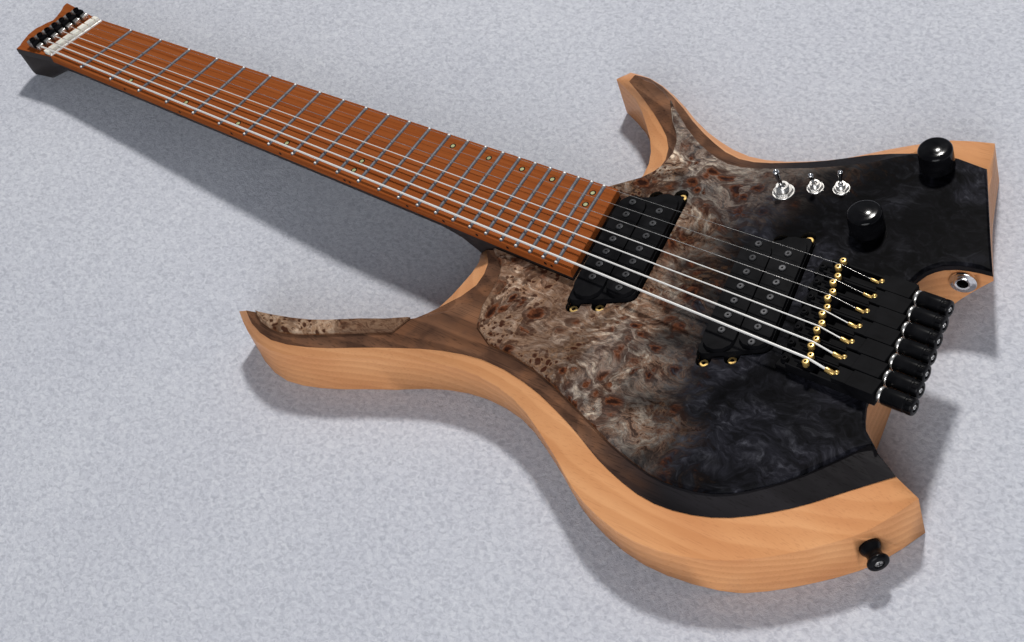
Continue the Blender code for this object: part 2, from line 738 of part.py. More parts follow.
def board_outline():
    outline = []
    steps = 14
    half = head_half_width(NUT_BASS_X - HEAD_LENGTH)
    for step in range(steps + 1):
        y = mix(-half, half, step / steps)
        outline.append((head_end_x(y), y))
    outline.append((NUT_BASS_X, BOARD_HALF_NUT))
    outline.append((BOARD_END_TREBLE_X, board_half_width(BOARD_END_TREBLE_X)))
    outline.append((BOARD_END_BASS_X, -board_half_width(BOARD_END_BASS_X)))
    outline.append((NUT_BASS_X, -BOARD_HALF_NUT))
    return outline


def fret_bar(name, fret):
    """One fret: a low rounded bar across the board, let into it by its tang."""
    (x0, y0), (x1, y1) = fan_line(scale_fraction(fret), 0.6 * MM)
    along = Vector((x1 - x0, y1 - y0, 0)).normalized()
    square = Vector((along.y, -along.x, 0))
    sunk = 0.6 * MM
    profile = [(-0.5, -sunk), (-0.5, FRET_HEIGHT * 0.25), (-0.3, FRET_HEIGHT * 0.8), (0.0, FRET_HEIGHT),
               (0.3, FRET_HEIGHT * 0.8), (0.5, FRET_HEIGHT * 0.25), (0.5, -sunk)]
    rings = []
    for x, y in ((x0, y0), (x1, y1)):
        middle = Vector((x, y, BOARD_TOP))
        steps = [(share * FRET_WIDTH, high) for share, high in profile]
        rings.append([middle + square * aside + Vector((0, 0, high)) for aside, high in steps])
    return loft(name, rings)


def nut_corners(grow):
    """The nut's outline, which lies along the zero fret's slant just behind it."""
    (x0, y0), (x1, y1) = fan_line(0.0, 1.0 * MM - grow)
    front = FRET_WIDTH / 2 + 3 * SEAT - grow
    back = front + NUT_WIDTH + 2 * grow
    return [(x0 - front, y0), (x1 - front, y1), (x1 - back, y1), (x0 - back, y0)]


def make_fingerboard():
    board = plate("fingerboard", board_outline(), BOARD_BOTTOM, BOARD_TOP, "roasted_maple")
    slot = plate("nut_slot", nut_corners(SEAT), BOARD_TOP - NUT_SLOT, BOARD_TOP + NUT_HEIGHT)
    cut(board, slot)
    join(board, *[fret_bar(f"fret_{number:02d}", number) for number in range(FRET_COUNT + 1)])
    return board


def make_nut():
    nut = plate("nut", nut_corners(0.0), BOARD_TOP - NUT_SLOT + SEAT, BOARD_TOP + NUT_HEIGHT, "bone")
    for index, gauge in enumerate(STRING_GAUGES):
        radius = gauge * MM / 2
        half = radius + SEAT
        x, y, crest = string_route(index)[2]
        low = crest - radius - SEAT
        cut(nut, box(f"nut_groove_{index + 1}", (x - 12 * MM, y - half, low), (x, y + half, low + 9 * MM)))
    return nut


def neck_section(x, half, depth, squareness, end_follows=False):
    """A cross-section, flat on top and rounded under, from a half superellipse."""
    ring = []
    steps = 12
    for step in range(steps + 1):
        angle = math.pi * step / steps
        cosine, sine = math.cos(angle), math.sin(angle)
        y = math.copysign(abs(cosine) ** (2 / squareness), cosine) * half
        down = abs(sine) ** (2 / squareness)
        place = head_end_x(y) + HEAD_UNDERCUT * down if end_follows else x
        ring.append((place, y, NECK_TOP - down * depth))
    return ring


def make_neck():
    """The head's block, the neck behind it and the square heel in the body's pocket, as one skin."""
    head_x = NUT_BASS_X - HEAD_LENGTH
    sections = [neck_section(head_x, head_half_width(head_x) - NECK_MARGIN, HEAD_DEPTH, 9.0, True)]
    for x, depth, squareness in (
        (head_x + 8 * MM, HEAD_DEPTH, 9.0),
        (head_x + HEAD_BLOCK, HEAD_DEPTH, 8.0),
        (NUT_BASS_X - 7 * MM, mix(HEAD_DEPTH, NECK_DEPTH_NUT, 0.6), 4.5),
        (NUT_BASS_X + 4 * MM, NECK_DEPTH_NUT - 1 * MM, 2.6),
    ):
        sections.append(neck_section(x, head_half_width(x) - NECK_MARGIN, depth, squareness))
    stretch = 6
    first = NUT_BASS_X + 25 * MM
    last = HEEL_X - 28 * MM
    for step in range(stretch + 1):
        x = mix(first, last, step / stretch)
        depth = mix(NECK_DEPTH_NUT, NECK_DEPTH_HEEL, step / stretch)
        sections.append(neck_section(x, board_half_width(x) - NECK_MARGIN, depth, 2.1))
    heel_depth = NECK_TOP - HEEL_FLOOR - SEAT
    halfway = HEEL_X - 12 * MM
    for x, squareness, share in ((halfway, 3.0, 0.5), (HEEL_X, 7.0, 1.0)):
        depth = mix(NECK_DEPTH_HEEL, heel_depth, share)
        sections.append(neck_section(x, board_half_width(x) - NECK_MARGIN, depth, squareness))
    end = []
    for point in neck_section(0.0, board_half_width(BOARD_END_BASS_X) - NECK_MARGIN, heel_depth, 7.0):
        half = board_half_width(BOARD_END_BASS_X)
        share = (point[1] + half) / (2 * half)
        end.append((mix(BOARD_END_BASS_X, BOARD_END_TREBLE_X, share), point[1], point[2]))
    sections.append(end)
    return loft("neck", sections, "black_lacquer", smooth=30)


# Strings

def lock_place(index):
    x, y = fan_point(string_side(index), 0.0)
    return x - FRET_WIDTH / 2 - NUT_WIDTH - LOCK_SETBACK, y


def saddle_x(index):
    x, _ = fan_point(string_side(index), 1.0)
    return x + mix(COMPENSATION_BASS, COMPENSATION_TREBLE, across(string_side(index)))


def unit_rear_x(index):
    return fan_point(string_side(index), 1.0)[0] + UNIT_REAR


def ball_x(index):
    return unit_rear_x(index) - mix(BALL_TO_REAR_BASS, BALL_TO_REAR_TREBLE, across(string_side(index)))


def string_route(index):
    """Lock, zero fret, saddle and ball end."""
    radius = STRING_GAUGES[index] * MM / 2
    side = string_side(index)
    lock_x, lock_y = lock_place(index)
    nut_x, nut_y = fan_point(side, 0.0)
    y = side * BRIDGE_SPREAD / 2
    crest = BOARD_TOP + FRET_HEIGHT + SEAT + radius
    return [
        Vector((lock_x - LOCK_LENGTH * 0.5, lock_y, BOARD_TOP + LOCK_HEIGHT * 0.42)),
        Vector((lock_x, lock_y, BOARD_TOP + LOCK_HEIGHT * 0.42)),
        Vector((nut_x, nut_y, crest)),
        Vector((saddle_x(index), y, BODY_TOP + SADDLE_TOP + SEAT + radius)),
        Vector((ball_x(index), y, BODY_TOP + BALL_HEIGHT)),
    ]


def make_string(index):
    radius = STRING_GAUGES[index] * MM / 2
    route = string_route(index)
    string = tube(f"string_{STRING_COUNT - index}", route, radius, "steel")
    ball = route[-1]
    half = Vector((0, BALL_WIDTH / 2, 0))
    join(string, round_bar(f"ball_{index}", ball - half, ball + half, BALL_RADIUS, 10))
    twist = route[-2] + (ball - route[-2]) * 0.62
    join(string, round_bar(f"twist_{index}", twist, ball, radius + 0.25 * MM, 6))
    return string


def make_lock(index):
    """A string lock: a block with the string's way in at the front and its clamp screw on top."""
    x, y = lock_place(index)
    half = LOCK_WIDTH / 2
    bottom = BOARD_TOP + SEAT
    top = BOARD_TOP + LOCK_HEIGHT
    name = f"string_lock_{STRING_COUNT - index}"
    rear = x - LOCK_LENGTH
    side = [
        (rear, bottom), (x, bottom), (x, top - 1.8 * MM), (x - 2.2 * MM, top),
        (rear + 1.2 * MM, top), (rear, top - 1.2 * MM),
    ]
    block = loft(name, [[(px, y + s * half, pz) for px, pz in side] for s in (-1, 1)], "black_metal")
    screw_x = x - LOCK_LENGTH * 0.62
    join(block, round_bar(name + "_screw", (screw_x, y, top - 1 * MM), (screw_x, y, top + LOCK_SCREW_HEIGHT),
                          LOCK_SCREW_RADIUS, 10))
    cut(block, round_bar(name + "_hex", (screw_x, y, top + LOCK_SCREW_HEIGHT - 1.2 * MM),
                         (screw_x, y, top + LOCK_SCREW_HEIGHT + 1 * MM), 1.1 * MM, 6))
    entry = string_route(index)[1]
    inside = string_route(index)[0]
    radius = STRING_GAUGES[index] * MM / 2
    cut(block, round_bar(name + "_entry", (inside.x - 0.5 * MM, y, inside.z), (entry.x + 2 * MM, y, entry.z),
                         radius + SEAT, 8))
    return block


# Bridge and tuners

def make_base(index):
    """One string's bridge base: a channel for the saddle, the ball's seat and the tuner's bearing block."""
    y = string_side(index) * BRIDGE_SPREAD / 2
    scale_x = fan_point(string_side(index), 1.0)[0]
    front, rear = scale_x - UNIT_FRONT, scale_x + UNIT_REAR
    half = UNIT_WIDTH / 2
    floor = UNIT_BOTTOM + UNIT_FLOOR
    name = f"bridge_base_{STRING_COUNT - index}"
    base = box(name, (front, y - half, UNIT_BOTTOM), (rear, y + half, floor), "black_metal")
    low = UNIT_BOTTOM + 0.4 * MM
    tools = []
    for sign in (-1, 1):
        inner, outer = sorted((y + sign * half, y + sign * (half - UNIT_WALL)))
        tools.append(box(f"{name}_wall_{sign}", (front + 7 * MM, inner, low),
                         (rear - 2 * MM, outer, BODY_TOP + UNIT_WALL_HEIGHT)))
    block_front = rear - UNIT_BLOCK_LENGTH
    tools.append(box(name + "_block", (block_front, y - half, low),
                     (rear, y + half, BODY_TOP + UNIT_BLOCK_HEIGHT)))
    ball = ball_x(index)
    seat_half = half - UNIT_WALL / 2
    tools.append(box(name + "_seat", (ball - 1 * MM, y - seat_half, low),
                     (block_front + 1 * MM, y + seat_half, BODY_TOP + BALL_HEIGHT + BALL_RADIUS + 1 * MM)))
    screw_x = front + UNIT_SCREW_SETBACK
    tools.append(round_bar(name + "_screw", (screw_x, y, low), (screw_x, y, floor + 1.4 * MM), 2.4 * MM, 10))
    join(base, *tools)
    ball_point = string_route(index)[-1]
    reach = Vector((0, BALL_WIDTH / 2 + SEAT, 0))
    pocket = round_bar(name + "_ball", ball_point - reach, ball_point + reach, BALL_RADIUS + SEAT, 10)
    ball_half = BALL_WIDTH / 2 + SEAT
    mouth = box(name + "_mouth", (ball - 3 * MM, y - ball_half, BODY_TOP + BALL_HEIGHT - BALL_RADIUS - SEAT),
                (ball, y + ball_half, BODY_TOP + BALL_HEIGHT + 6 * MM))
    axis = BODY_TOP + TUNER_AXIS_HEIGHT
    bore = round_bar(name + "_bore", (block_front - 1 * MM, y, axis), (rear + 2 * MM, y, axis),
                     TUNER_SCREW_RADIUS + RUNNING, 12)
    socket = round_bar(name + "_socket", (screw_x, y, floor + 0.5 * MM),
                       (screw_x, y, floor + 4 * MM), 1.2 * MM, 6)
    cut(base, pocket, mouth, bore, socket)
    return base


def make_saddle(index):
    """The saddle: a block between the channel's walls, its crest under the string, with two height screws."""
    x = saddle_x(index)
    y = string_side(index) * BRIDGE_SPREAD / 2
    half = UNIT_WIDTH / 2 - UNIT_WALL - SEAT
    bottom = UNIT_BOTTOM + UNIT_FLOOR + SEAT
    top = BODY_TOP + SADDLE_TOP
    name = f"saddle_{STRING_COUNT - index}"
    shoulder = top - 2.6 * MM
    side = [(-0.62, bottom), (0.38, bottom), (0.38, shoulder - 1.2 * MM), (0.12, top - 0.3 * MM), (0.0, top),
            (-0.1, top - 0.25 * MM), (-0.2, shoulder), (-0.62, shoulder - 0.8 * MM)]
    faces = [[(x + share * SADDLE_LENGTH, y + s * half, z) for share, z in side] for s in (-1, 1)]
    saddle = loft(name, faces, "black_metal")
    for number, sign in enumerate((-1, 1)):
        place = (x - 0.05 * MM, y + sign * 2.55 * MM)
        foot, head = (*place, bottom + 2 * MM), (*place, top + 1.1 * MM)
        join(saddle, round_bar(f"{name}_height_{number}", foot, head, 1.25 * MM, 8))
    return saddle


def make_tuner(index):
    """The tuner's knob with its collar and its screw, which runs through the bearing block."""
    y = string_side(index) * BRIDGE_SPREAD / 2
    rear = unit_rear_x(index)
    start = TUNER_COLLAR
    end = TUNER_COLLAR + TUNER_LENGTH
    r = TUNER_RADIUS
    profile = [
        (0.0, end - 0.8 * MM), (0.45 * r, end - 0.8 * MM), (0.52 * r, end), (0.86 * r, end),
        (r, end - 0.9 * MM),
        (r, end - 3.6 * MM), (0.9 * r, end - 4.0 * MM), (0.9 * r, end - 4.6 * MM), (r, end - 5.0 * MM),
        (r, start), (0.62 * r, start), (0.62 * r, SEAT),
        (TUNER_SCREW_RADIUS, SEAT), (TUNER_SCREW_RADIUS, -UNIT_BLOCK_LENGTH + 0.6 * MM),
        (0.0, -UNIT_BLOCK_LENGTH + 0.6 * MM),
    ]
    name = f"tuner_knob_{STRING_COUNT - index}"
    return turned(name, profile, "black_metal", (rear, y, BODY_TOP + TUNER_AXIS_HEIGHT), "X", 11)


# Controls

def make_control_knob(name, at):
    """A domed knob, hollow under its crown, with the shaft that it turns."""
    bottom = BODY_TOP + 2 * SEAT
    top = bottom + KNOB_HEIGHT
    r = KNOB_RADIUS
    web = bottom + 8.5 * MM
    shaft_end = CORE_TOP - POT_DEPTH + 2 * MM
    profile = [(0.0, top)]
    for step in range(1, 5):
        angle = math.radians(90 * step / 4)
        profile.append((0.62 * r + 0.34 * r * math.sin(angle), top - 0.24 * r * (1 - math.cos(angle))))
    profile += [
        (r, bottom), (0.86 * r, bottom), (0.8 * r, web),
        (SHAFT_RADIUS, web), (SHAFT_RADIUS, shaft_end), (0.0, shaft_end),
    ]
    return turned(name, profile, "black_plastic", (*at, 0.0), "Z", 20)


def make_pot(name, at):
    """A small rotary pot, hung under the top by its threaded bushing and nut."""
    x, y = at
    top = CAP_BOTTOM - SEAT
    can = round_bar(name, (x, y, top - POT_DEPTH), (x, y, top), POT_RADIUS, 20, "steel")
    join(can, round_bar(name + "_bushing", (x, y, top - 1 * MM), (x, y, BODY_TOP + 5 * MM),
                        POT_BUSHING_RADIUS, 12))
    join(can, round_bar(name + "_nut", (x, y, BODY_TOP + SEAT), (x, y, BODY_TOP + 2.3 * MM), 5.6 * MM, 6))
    cut(can, round_bar(name + "_bore", (x, y, top - POT_DEPTH + 1 * MM), (x, y, BODY_TOP + 8 * MM),
                       SHAFT_RADIUS + RUNNING, 14))
    return can


def switch_sizes(size):
    return {
        "bushing": 2.9 * MM * size, "pivot": BODY_TOP + 2.6 * MM * size, "rim": BODY_TOP + 4.2 * MM * size,
        "ball": 1.5 * MM * size, "lever": 1.05 * MM * size, "tip": 1.6 * MM * size,
        "length": 10.5 * MM * size,
    }


def make_switch(name, spec):
    """A toggle switch body under the top, with its bushing and nut through it."""
    x, y = spec["at"]
    s = switch_sizes(spec["size"])
    top = CAP_BOTTOM - SEAT
    wide, long = 3.6 * MM * spec["size"], 6.2 * MM * spec["size"]
    if spec["swing"][1] == 0.0:
        wide, long = long, wide
    body = box(name + "_switch", (x - wide, y - long, top - 9 * MM), (x + wide, y + long, top), "chrome")
    join(body, round_bar(name + "_bushing", (x, y, top - 1 * MM), (x, y, s["rim"]), s["bushing"], 12))
    join(body, round_bar(name + "_hexnut", (x, y, BODY_TOP + SEAT), (x, y, BODY_TOP + 2 * MM),
                         s["bushing"] * 1.55, 6))
    cut(body, round_bar(name + "_throat", (x, y, s["pivot"] - s["ball"] - RUNNING), (x, y, s["rim"] + 2 * MM),
                        s["ball"] + RUNNING, 12))
    return body


def make_lever(name, spec):
    """The bat lever, pivoting on its ball in the switch's bushing and leaning to one side at rest."""
    s = switch_sizes(spec["size"])
    length = s["length"]
    tip = s["tip"]
    profile = []
    for step in range(5):
        angle = math.radians(90 * step / 4)
        profile.append((tip * math.sin(angle), length - tip * (1 - math.cos(angle))))
    profile += [(tip, length - 2.4 * tip), (s["lever"] * 0.8, s["ball"] * 0.9)]
    for step in range(4):
        angle = math.radians(50 + 130 * step / 3)
        profile.append((s["ball"] * math.sin(angle), s["ball"] * math.cos(angle)))
    profile[-1] = (0.0, -s["ball"])
    lever = turned(name + "_lever", profile, "chrome", (*spec["at"], s["pivot"]), "Z", 10)
    swing = Vector((*spec["swing"], 0.0))
    axis = Vector((0, 0, 1)).cross(swing)
    lever.rotation_euler = Matrix.Rotation(math.radians(SWITCH_LEAN), 3, axis).to_euler()
    return lever


def jack_axis():
    """Where the jack's flange meets the wall, just under the top of the core, and the way into the body."""
    at = Vector((*JACK_AT, CORE_TOP - JACK_MARGIN - JACK_RING_RADIUS))
    turn = math.radians(JACK_TURN)
    return at, Vector((math.cos(turn), math.sin(turn), 0))


def make_jack():
    """The output jack, in the wall of the tail cut-out."""
    at, inward = jack_axis()
    ring = round_bar("output_jack", at - inward * (1.5 * MM + SEAT), at - inward * SEAT,
                     JACK_RING_RADIUS, 20, "chrome")
    join(ring, round_bar("jack_barrel", at - inward * 1 * MM, at + inward * JACK_BARREL_LENGTH,
                         JACK_BARREL_RADIUS, 16))
    cut(ring, round_bar("jack_mouth", at - inward * 5 * MM, at + inward * (JACK_BARREL_LENGTH - 2 * MM),
                        JACK_BORE, 16))
    return ring


def jack_cutters():
    at, inward = jack_axis()
    flat = round_bar("jack_flat", at - inward * 12 * MM, at, JACK_RING_RADIUS + 1 * MM, 24)
    hole = round_bar("jack_hole", at - inward * 1 * MM, at + inward * (JACK_BARREL_LENGTH + 8 * MM),
                     JACK_BARREL_RADIUS + SEAT, 16)
    return flat, hole


def make_strap_button(name, at, turn):
    """A waisted strap button standing out of the wall, with its screw in the wood."""
    out = Vector((math.cos(math.radians(turn)), math.sin(math.radians(turn)), 0))
    r = STRAP_RADIUS
    profile = [
        (0.0, STRAP_LENGTH), (0.35 * r, STRAP_LENGTH), (0.9 * r, STRAP_LENGTH - 0.6 * MM),
        (r, STRAP_LENGTH - 2.2 * MM), (0.62 * r, STRAP_LENGTH - 4 * MM), (0.55 * r, 0.45 * STRAP_LENGTH),
        (0.85 * r, 0.2 * STRAP_LENGTH), (0.95 * r, SEAT),
        (1.7 * MM, SEAT), (1.7 * MM, -14 * MM), (0.0, -16 * MM),
    ]
    button = turned(name, profile, "black_metal", at, "Z", 14)
    button.rotation_euler = out.to_track_quat("Z", "Y").to_euler()
    return button


def strap_cutters(name, at, turn):
    at = Vector(at)
    out = Vector((math.cos(math.radians(turn)), math.sin(math.radians(turn)), 0))
    flat = round_bar(name + "_flat", at, at + out * 14 * MM, STRAP_RADIUS + 0.5 * MM, 20)
    hole = round_bar(name + "_hole", at - out * 16.5 * MM, at + out * 1 * MM, 1.7 * MM + SEAT, 12)
    return flat, hole


def cavity_outline(grow):
    """The control cavity's outline in the back, grown by an allowance."""
    points = [Vector(p) * MM for p in CAVITY]
    total = len(points)
    grown = []
    for i, here in enumerate(points):
        before = (here - points[i - 1]).normalized()
        after = (points[(i + 1) % total] - here).normalized()
        outward = Vector((-before.y, before.x)) + Vector((-after.y, after.x))
        outward /= 1 + before.dot(after)
        grown.append(tuple(here + outward * grow))
    return grown


def make_cavity_cover():
    outline = cavity_outline(CAVITY_WALL_COVER)
    return plate("cavity_cover", outline, SEAT, SEAT + COVER_THICKNESS, "black_plastic")


# Assembly

def build():
    core, stained, burl, horn = make_body()
    pocket = neck_pocket_cutter()
    routs = rout_cutters("neck", PICKUP_NECK_X, PICKUP_NECK_LEAN)
    routs += rout_cutters("bridge", PICKUP_BRIDGE_X, PICKUP_BRIDGE_LEAN)
    holes = []
    for number, (x, y) in enumerate((VOLUME_AT, TONE_AT)):
        holes.append(round_bar(f"pot_hole_{number}", (x, y, CORE_TOP - 2 * MM), (x, y, BODY_TOP + 2 * MM),
                               POT_BUSHING_RADIUS + SEAT, 16))
    for name, spec in SWITCHES.items():
        x, y = spec["at"]
        holes.append(round_bar(f"{name}_hole", (x, y, CORE_TOP - 2 * MM), (x, y, BODY_TOP + 2 * MM),
                               switch_sizes(spec["size"])["bushing"] + SEAT, 16))
    for layer in (stained, burl):
        cut(layer, pocket, *routs, *holes)
    cavity = plate("control_cavity", cavity_outline(0.0), -5 * MM, CORE_TOP + 3 * SEAT)
    recess = cavity_outline(CAVITY_WALL_COVER + SEAT)
    ledge = plate("cover_recess", recess, -5 * MM, SEAT + COVER_THICKNESS + SEAT)
    cut(core, belly_cutter(), tail_bevel_cutter(), pocket, *routs, cavity, ledge, *jack_cutters())
    cut(core, *strap_cutters("tail_strap", STRAP_TAIL_AT, STRAP_TAIL_TURN))
    cut(core, *strap_cutters("horn_strap", STRAP_HORN_AT, STRAP_HORN_TURN))
    make_cavity_cover()
    make_neck()
    make_fingerboard()
    make_nut()
    make_pickup("pickup_neck", PICKUP_NECK_X, PICKUP_NECK_LEAN)
    make_pickup("pickup_bridge", PICKUP_BRIDGE_X, PICKUP_BRIDGE_LEAN)
    for index in range(STRING_COUNT):
        make_string(index)
        make_lock(index)
        make_base(index)
        make_saddle(index)
        make_tuner(index)
    for name, at in (("volume", VOLUME_AT), ("tone", TONE_AT)):
        make_control_knob(name + "_knob", at)
        make_pot(name + "_pot", at)
    for name, spec in SWITCHES.items():
        make_switch(name, spec)
        make_lever(name, spec)
    make_jack()
    make_strap_button("strap_button_tail", STRAP_TAIL_AT, STRAP_TAIL_TURN)
    make_strap_button("strap_button_horn", STRAP_HORN_AT, STRAP_HORN_TURN)


build()
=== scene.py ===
# %% [markdown]
# # A headless seven-string electric guitar, lying on a pale cloth
# This lesson dresses a measured model of the guitar in its real looks. The measured pieces come in first
# and never move. Each cell then adds one thing: a light, a wood, a fret, a screw. Everything is in metres:
# +X runs from the nut to the tail, +Y from bass to treble, +Z out of the fretboard.

# %% The measured frame
import math

import bmesh
import bpy
from mathutils import Matrix, Vector
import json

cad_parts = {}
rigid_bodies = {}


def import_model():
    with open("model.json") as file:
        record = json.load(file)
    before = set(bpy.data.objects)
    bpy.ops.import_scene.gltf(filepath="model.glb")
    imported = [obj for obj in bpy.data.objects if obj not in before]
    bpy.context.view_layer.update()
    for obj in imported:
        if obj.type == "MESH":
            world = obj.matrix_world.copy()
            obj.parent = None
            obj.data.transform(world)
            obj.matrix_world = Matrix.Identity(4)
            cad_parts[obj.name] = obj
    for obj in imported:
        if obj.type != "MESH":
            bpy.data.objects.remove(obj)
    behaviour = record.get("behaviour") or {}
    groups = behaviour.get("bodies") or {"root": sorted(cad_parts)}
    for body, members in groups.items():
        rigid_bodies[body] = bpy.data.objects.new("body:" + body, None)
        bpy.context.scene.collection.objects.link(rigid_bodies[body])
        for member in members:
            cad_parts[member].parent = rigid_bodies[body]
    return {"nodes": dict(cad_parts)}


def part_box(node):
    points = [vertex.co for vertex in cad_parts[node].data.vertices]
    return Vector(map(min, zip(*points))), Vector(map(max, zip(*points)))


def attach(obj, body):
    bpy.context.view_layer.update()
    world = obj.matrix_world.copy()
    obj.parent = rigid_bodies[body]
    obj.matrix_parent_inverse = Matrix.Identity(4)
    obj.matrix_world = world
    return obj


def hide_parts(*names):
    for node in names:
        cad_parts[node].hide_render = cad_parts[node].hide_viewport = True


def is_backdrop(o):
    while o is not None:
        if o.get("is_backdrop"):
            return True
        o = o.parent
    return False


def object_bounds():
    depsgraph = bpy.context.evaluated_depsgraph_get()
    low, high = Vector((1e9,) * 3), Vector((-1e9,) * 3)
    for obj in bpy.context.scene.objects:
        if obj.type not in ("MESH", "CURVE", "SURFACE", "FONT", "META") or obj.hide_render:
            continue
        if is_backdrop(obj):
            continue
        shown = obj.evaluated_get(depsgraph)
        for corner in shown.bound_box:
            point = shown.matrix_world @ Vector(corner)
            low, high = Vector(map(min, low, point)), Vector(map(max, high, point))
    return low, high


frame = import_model()
MM = 0.001
STRINGS = range(1, 8)
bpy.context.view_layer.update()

# %% [markdown]
# ## The camera
# The picture was taken from above the tail end, with the camera tilted so that the neck runs off to the
# upper left. A long lens flattens the view, so the far headstock is still large in the frame. The camera is
# placed by where it stands and what it looks at, then rolled about its own axis.

# %% Camera
CAMERA_AT = Vector((0.54946, -0.4895, 0.76575))
CAMERA_TARGET = Vector((-0.05722, -0.07443, 0.042))
CAMERA_ROLL = -22.81       # degrees
LENS = 62.92               # focal length in millimetres, on a sensor 36 mm wide


def make_camera():
    view = (CAMERA_TARGET - CAMERA_AT).normalized()
    right = view.cross(Vector((0, 0, 1))).normalized()
    up = right.cross(view)
    roll = math.radians(CAMERA_ROLL)
    across = right * math.cos(roll) + up * math.sin(roll)
    upward = up * math.cos(roll) - right * math.sin(roll)
    data = bpy.data.cameras.new("camera")
    data.lens = LENS
    camera = bpy.data.objects.new("camera", data)
    turn = Matrix((across, upward, -view)).transposed().to_4x4()
    camera.matrix_world = Matrix.Translation(CAMERA_AT) @ turn
    bpy.context.scene.collection.objects.link(camera)
    bpy.context.scene.camera = camera


make_camera()
print("camera:", round((CAMERA_AT - CAMERA_TARGET).length, 3), "m from what it looks at")

# %% [markdown]
# ## The light
# One fairly small lamp stands beyond the treble side of the neck and throws the shadows toward the camera.
# A broad, low lamp on the camera's side lights the walls, and a dim sky keeps the shadows from going black.
# Area lamps suit this: their size sets how soft a shadow's edge is.

# %% Lights
BODY_MIDDLE = Vector((0.0, 0.0, 0.03))
KEY_AT = Vector((-0.598, 1.536, 2.50))
KEY_SIZE = 0.34
KEY_POWER = 70.0           # watts
FILL_AT = Vector((1.125, -1.625, 0.92))
FILL_SIZE = 1.6
FILL_POWER = 31.0
SKY_COLOUR = (0.80, 0.87, 1.0, 1.0)
SKY_STRENGTH = 0.14


def area_lamp(name, place, size, power, colour):
    """A round lamp that looks at the middle of the body."""
    data = bpy.data.lights.new(name, "AREA")
    data.shape = "DISK"
    data.size = size
    data.energy = power
    data.color = colour
    lamp = bpy.data.objects.new(name, data)
    lamp.location = place
    lamp.rotation_euler = (BODY_MIDDLE - place).to_track_quat("-Z", "Y").to_euler()
    bpy.context.scene.collection.objects.link(lamp)
    return lamp


def make_sky():
    world = bpy.data.worlds.new("room")
    world.use_nodes = True
    background = world.node_tree.nodes["Background"].inputs
    background["Color"].default_value = SKY_COLOUR
    background["Strength"].default_value = SKY_STRENGTH
    bpy.context.scene.world = world


key = area_lamp("key_lamp", KEY_AT, KEY_SIZE, KEY_POWER, (1.0, 0.97, 0.93))
fill = area_lamp("fill_lamp", FILL_AT, FILL_SIZE, FILL_POWER, (0.97, 0.98, 1.0))
make_sky()
bpy.context.scene.view_settings.view_transform = "Standard"
print("lights:", key.name, fill.name, "and a dim sky")

# %% [markdown]
# ## Shader building blocks
# A surface is a tree of small shader nodes: coordinates go in, patterns and ramps shape them, and a shader
# comes out. Short functions keep the later cells readable. One adds a node and wires it, some do sums, and
# some colour a value. Patterns use Object coordinates, so wood runs through a piece the way it runs through
# a plank.

# %% Node helpers
def feed(socket, value):
    """Gives an input a value, or links it to the output that feeds it."""
    if isinstance(value, bpy.types.NodeSocket):
        socket.id_data.links.new(value, socket)
    else:
        socket.default_value = value


def add(kind, sockets, **settings):
    """A shader node, with what goes into its inputs. It joins the tree of the first output that feeds it."""
    tree = next(value.id_data for value in sockets.values() if isinstance(value, bpy.types.NodeSocket))
    made = tree.nodes.new("ShaderNode" + kind)
    for name, value in settings.items():
        setattr(made, name, value)
    for key, value in sockets.items():
        feed(made.inputs[key], value)
    return made


def sums(operation, *values, clamp=False):
    """One step of arithmetic on values or outputs."""
    return add("Math", dict(enumerate(values)), operation=operation, use_clamp=clamp).outputs[0]


def times(one, other):
    return sums("MULTIPLY", one, other)


def plus(one, other):
    return sums("ADD", one, other)


def minus(one, other):
    return sums("SUBTRACT", one, other)


def step(value, low, high):
    """0 below low and 1 above high, with a smooth way between. Low above high turns it round."""
    sockets = {"Value": value, "From Min": low, "From Max": high}
    return add("MapRange", sockets, interpolation_type="SMOOTHSTEP").outputs["Result"]


def colours(factor, *stops):
    """A colour ramp from (place, colour) stops."""
    made = add("ValToRGB", {"Fac": factor})
    elements = made.color_ramp.elements
    elements.remove(elements[1])
    elements[0].position = stops[0][0]
    elements[0].color = (*stops[0][1], 1.0)
    for place, colour in stops[1:]:
        elements.new(place).color = (*colour, 1.0)
    return made.outputs["Color"]


def blended(factor, under, over, how="MIX"):
    """Two colours or colour outputs, mixed by a factor. The node's inputs 6 and 7 are its colours."""
    sockets = {0: factor}
    for number, value in ((6, under), (7, over)):
        sockets[number] = (*value, 1.0) if isinstance(value, tuple) else value
    return add("Mix", sockets, data_type="RGBA", blend_type=how).outputs[2]


def tinted(factor, under, tint):
    """A colour output multiplied by another."""
    return blended(factor, under, tint, "MULTIPLY")


def stretched(vector, scale, turn=(0.0, 0.0, 0.0)):
    """Coordinates turned, in degrees, and scaled: a pattern on them is squeezed where scale is large."""
    sockets = {"Vector": vector, "Scale": scale, "Rotation": [math.radians(angle) for angle in turn]}
    return add("Mapping", sockets).outputs["Vector"]


def noise(vector, scale, detail=3.0, distortion=0.0, roughness=0.5, output="Fac"):
    sockets = {"Vector": vector, "Scale": scale, "Detail": detail}
    return add("TexNoise", sockets | {"Distortion": distortion, "Roughness": roughness}).outputs[output]


def warped(vector, scale, amount, detail=2.0):
    """The same coordinates pushed about by a noise, up to half of amount each way, in metres."""
    push = {0: noise(vector, scale, detail, output="Color"), 1: (0.5, 0.5, 0.5)}
    push = add("VectorMath", push, operation="SUBTRACT").outputs[0]
    push = add("VectorMath", {0: push, "Scale": amount}, operation="SCALE").outputs[0]
    return add("VectorMath", {0: vector, 1: push}, operation="ADD").outputs[0]


def parts_of(vector):
    return add("SeparateXYZ", {"Vector": vector}).outputs


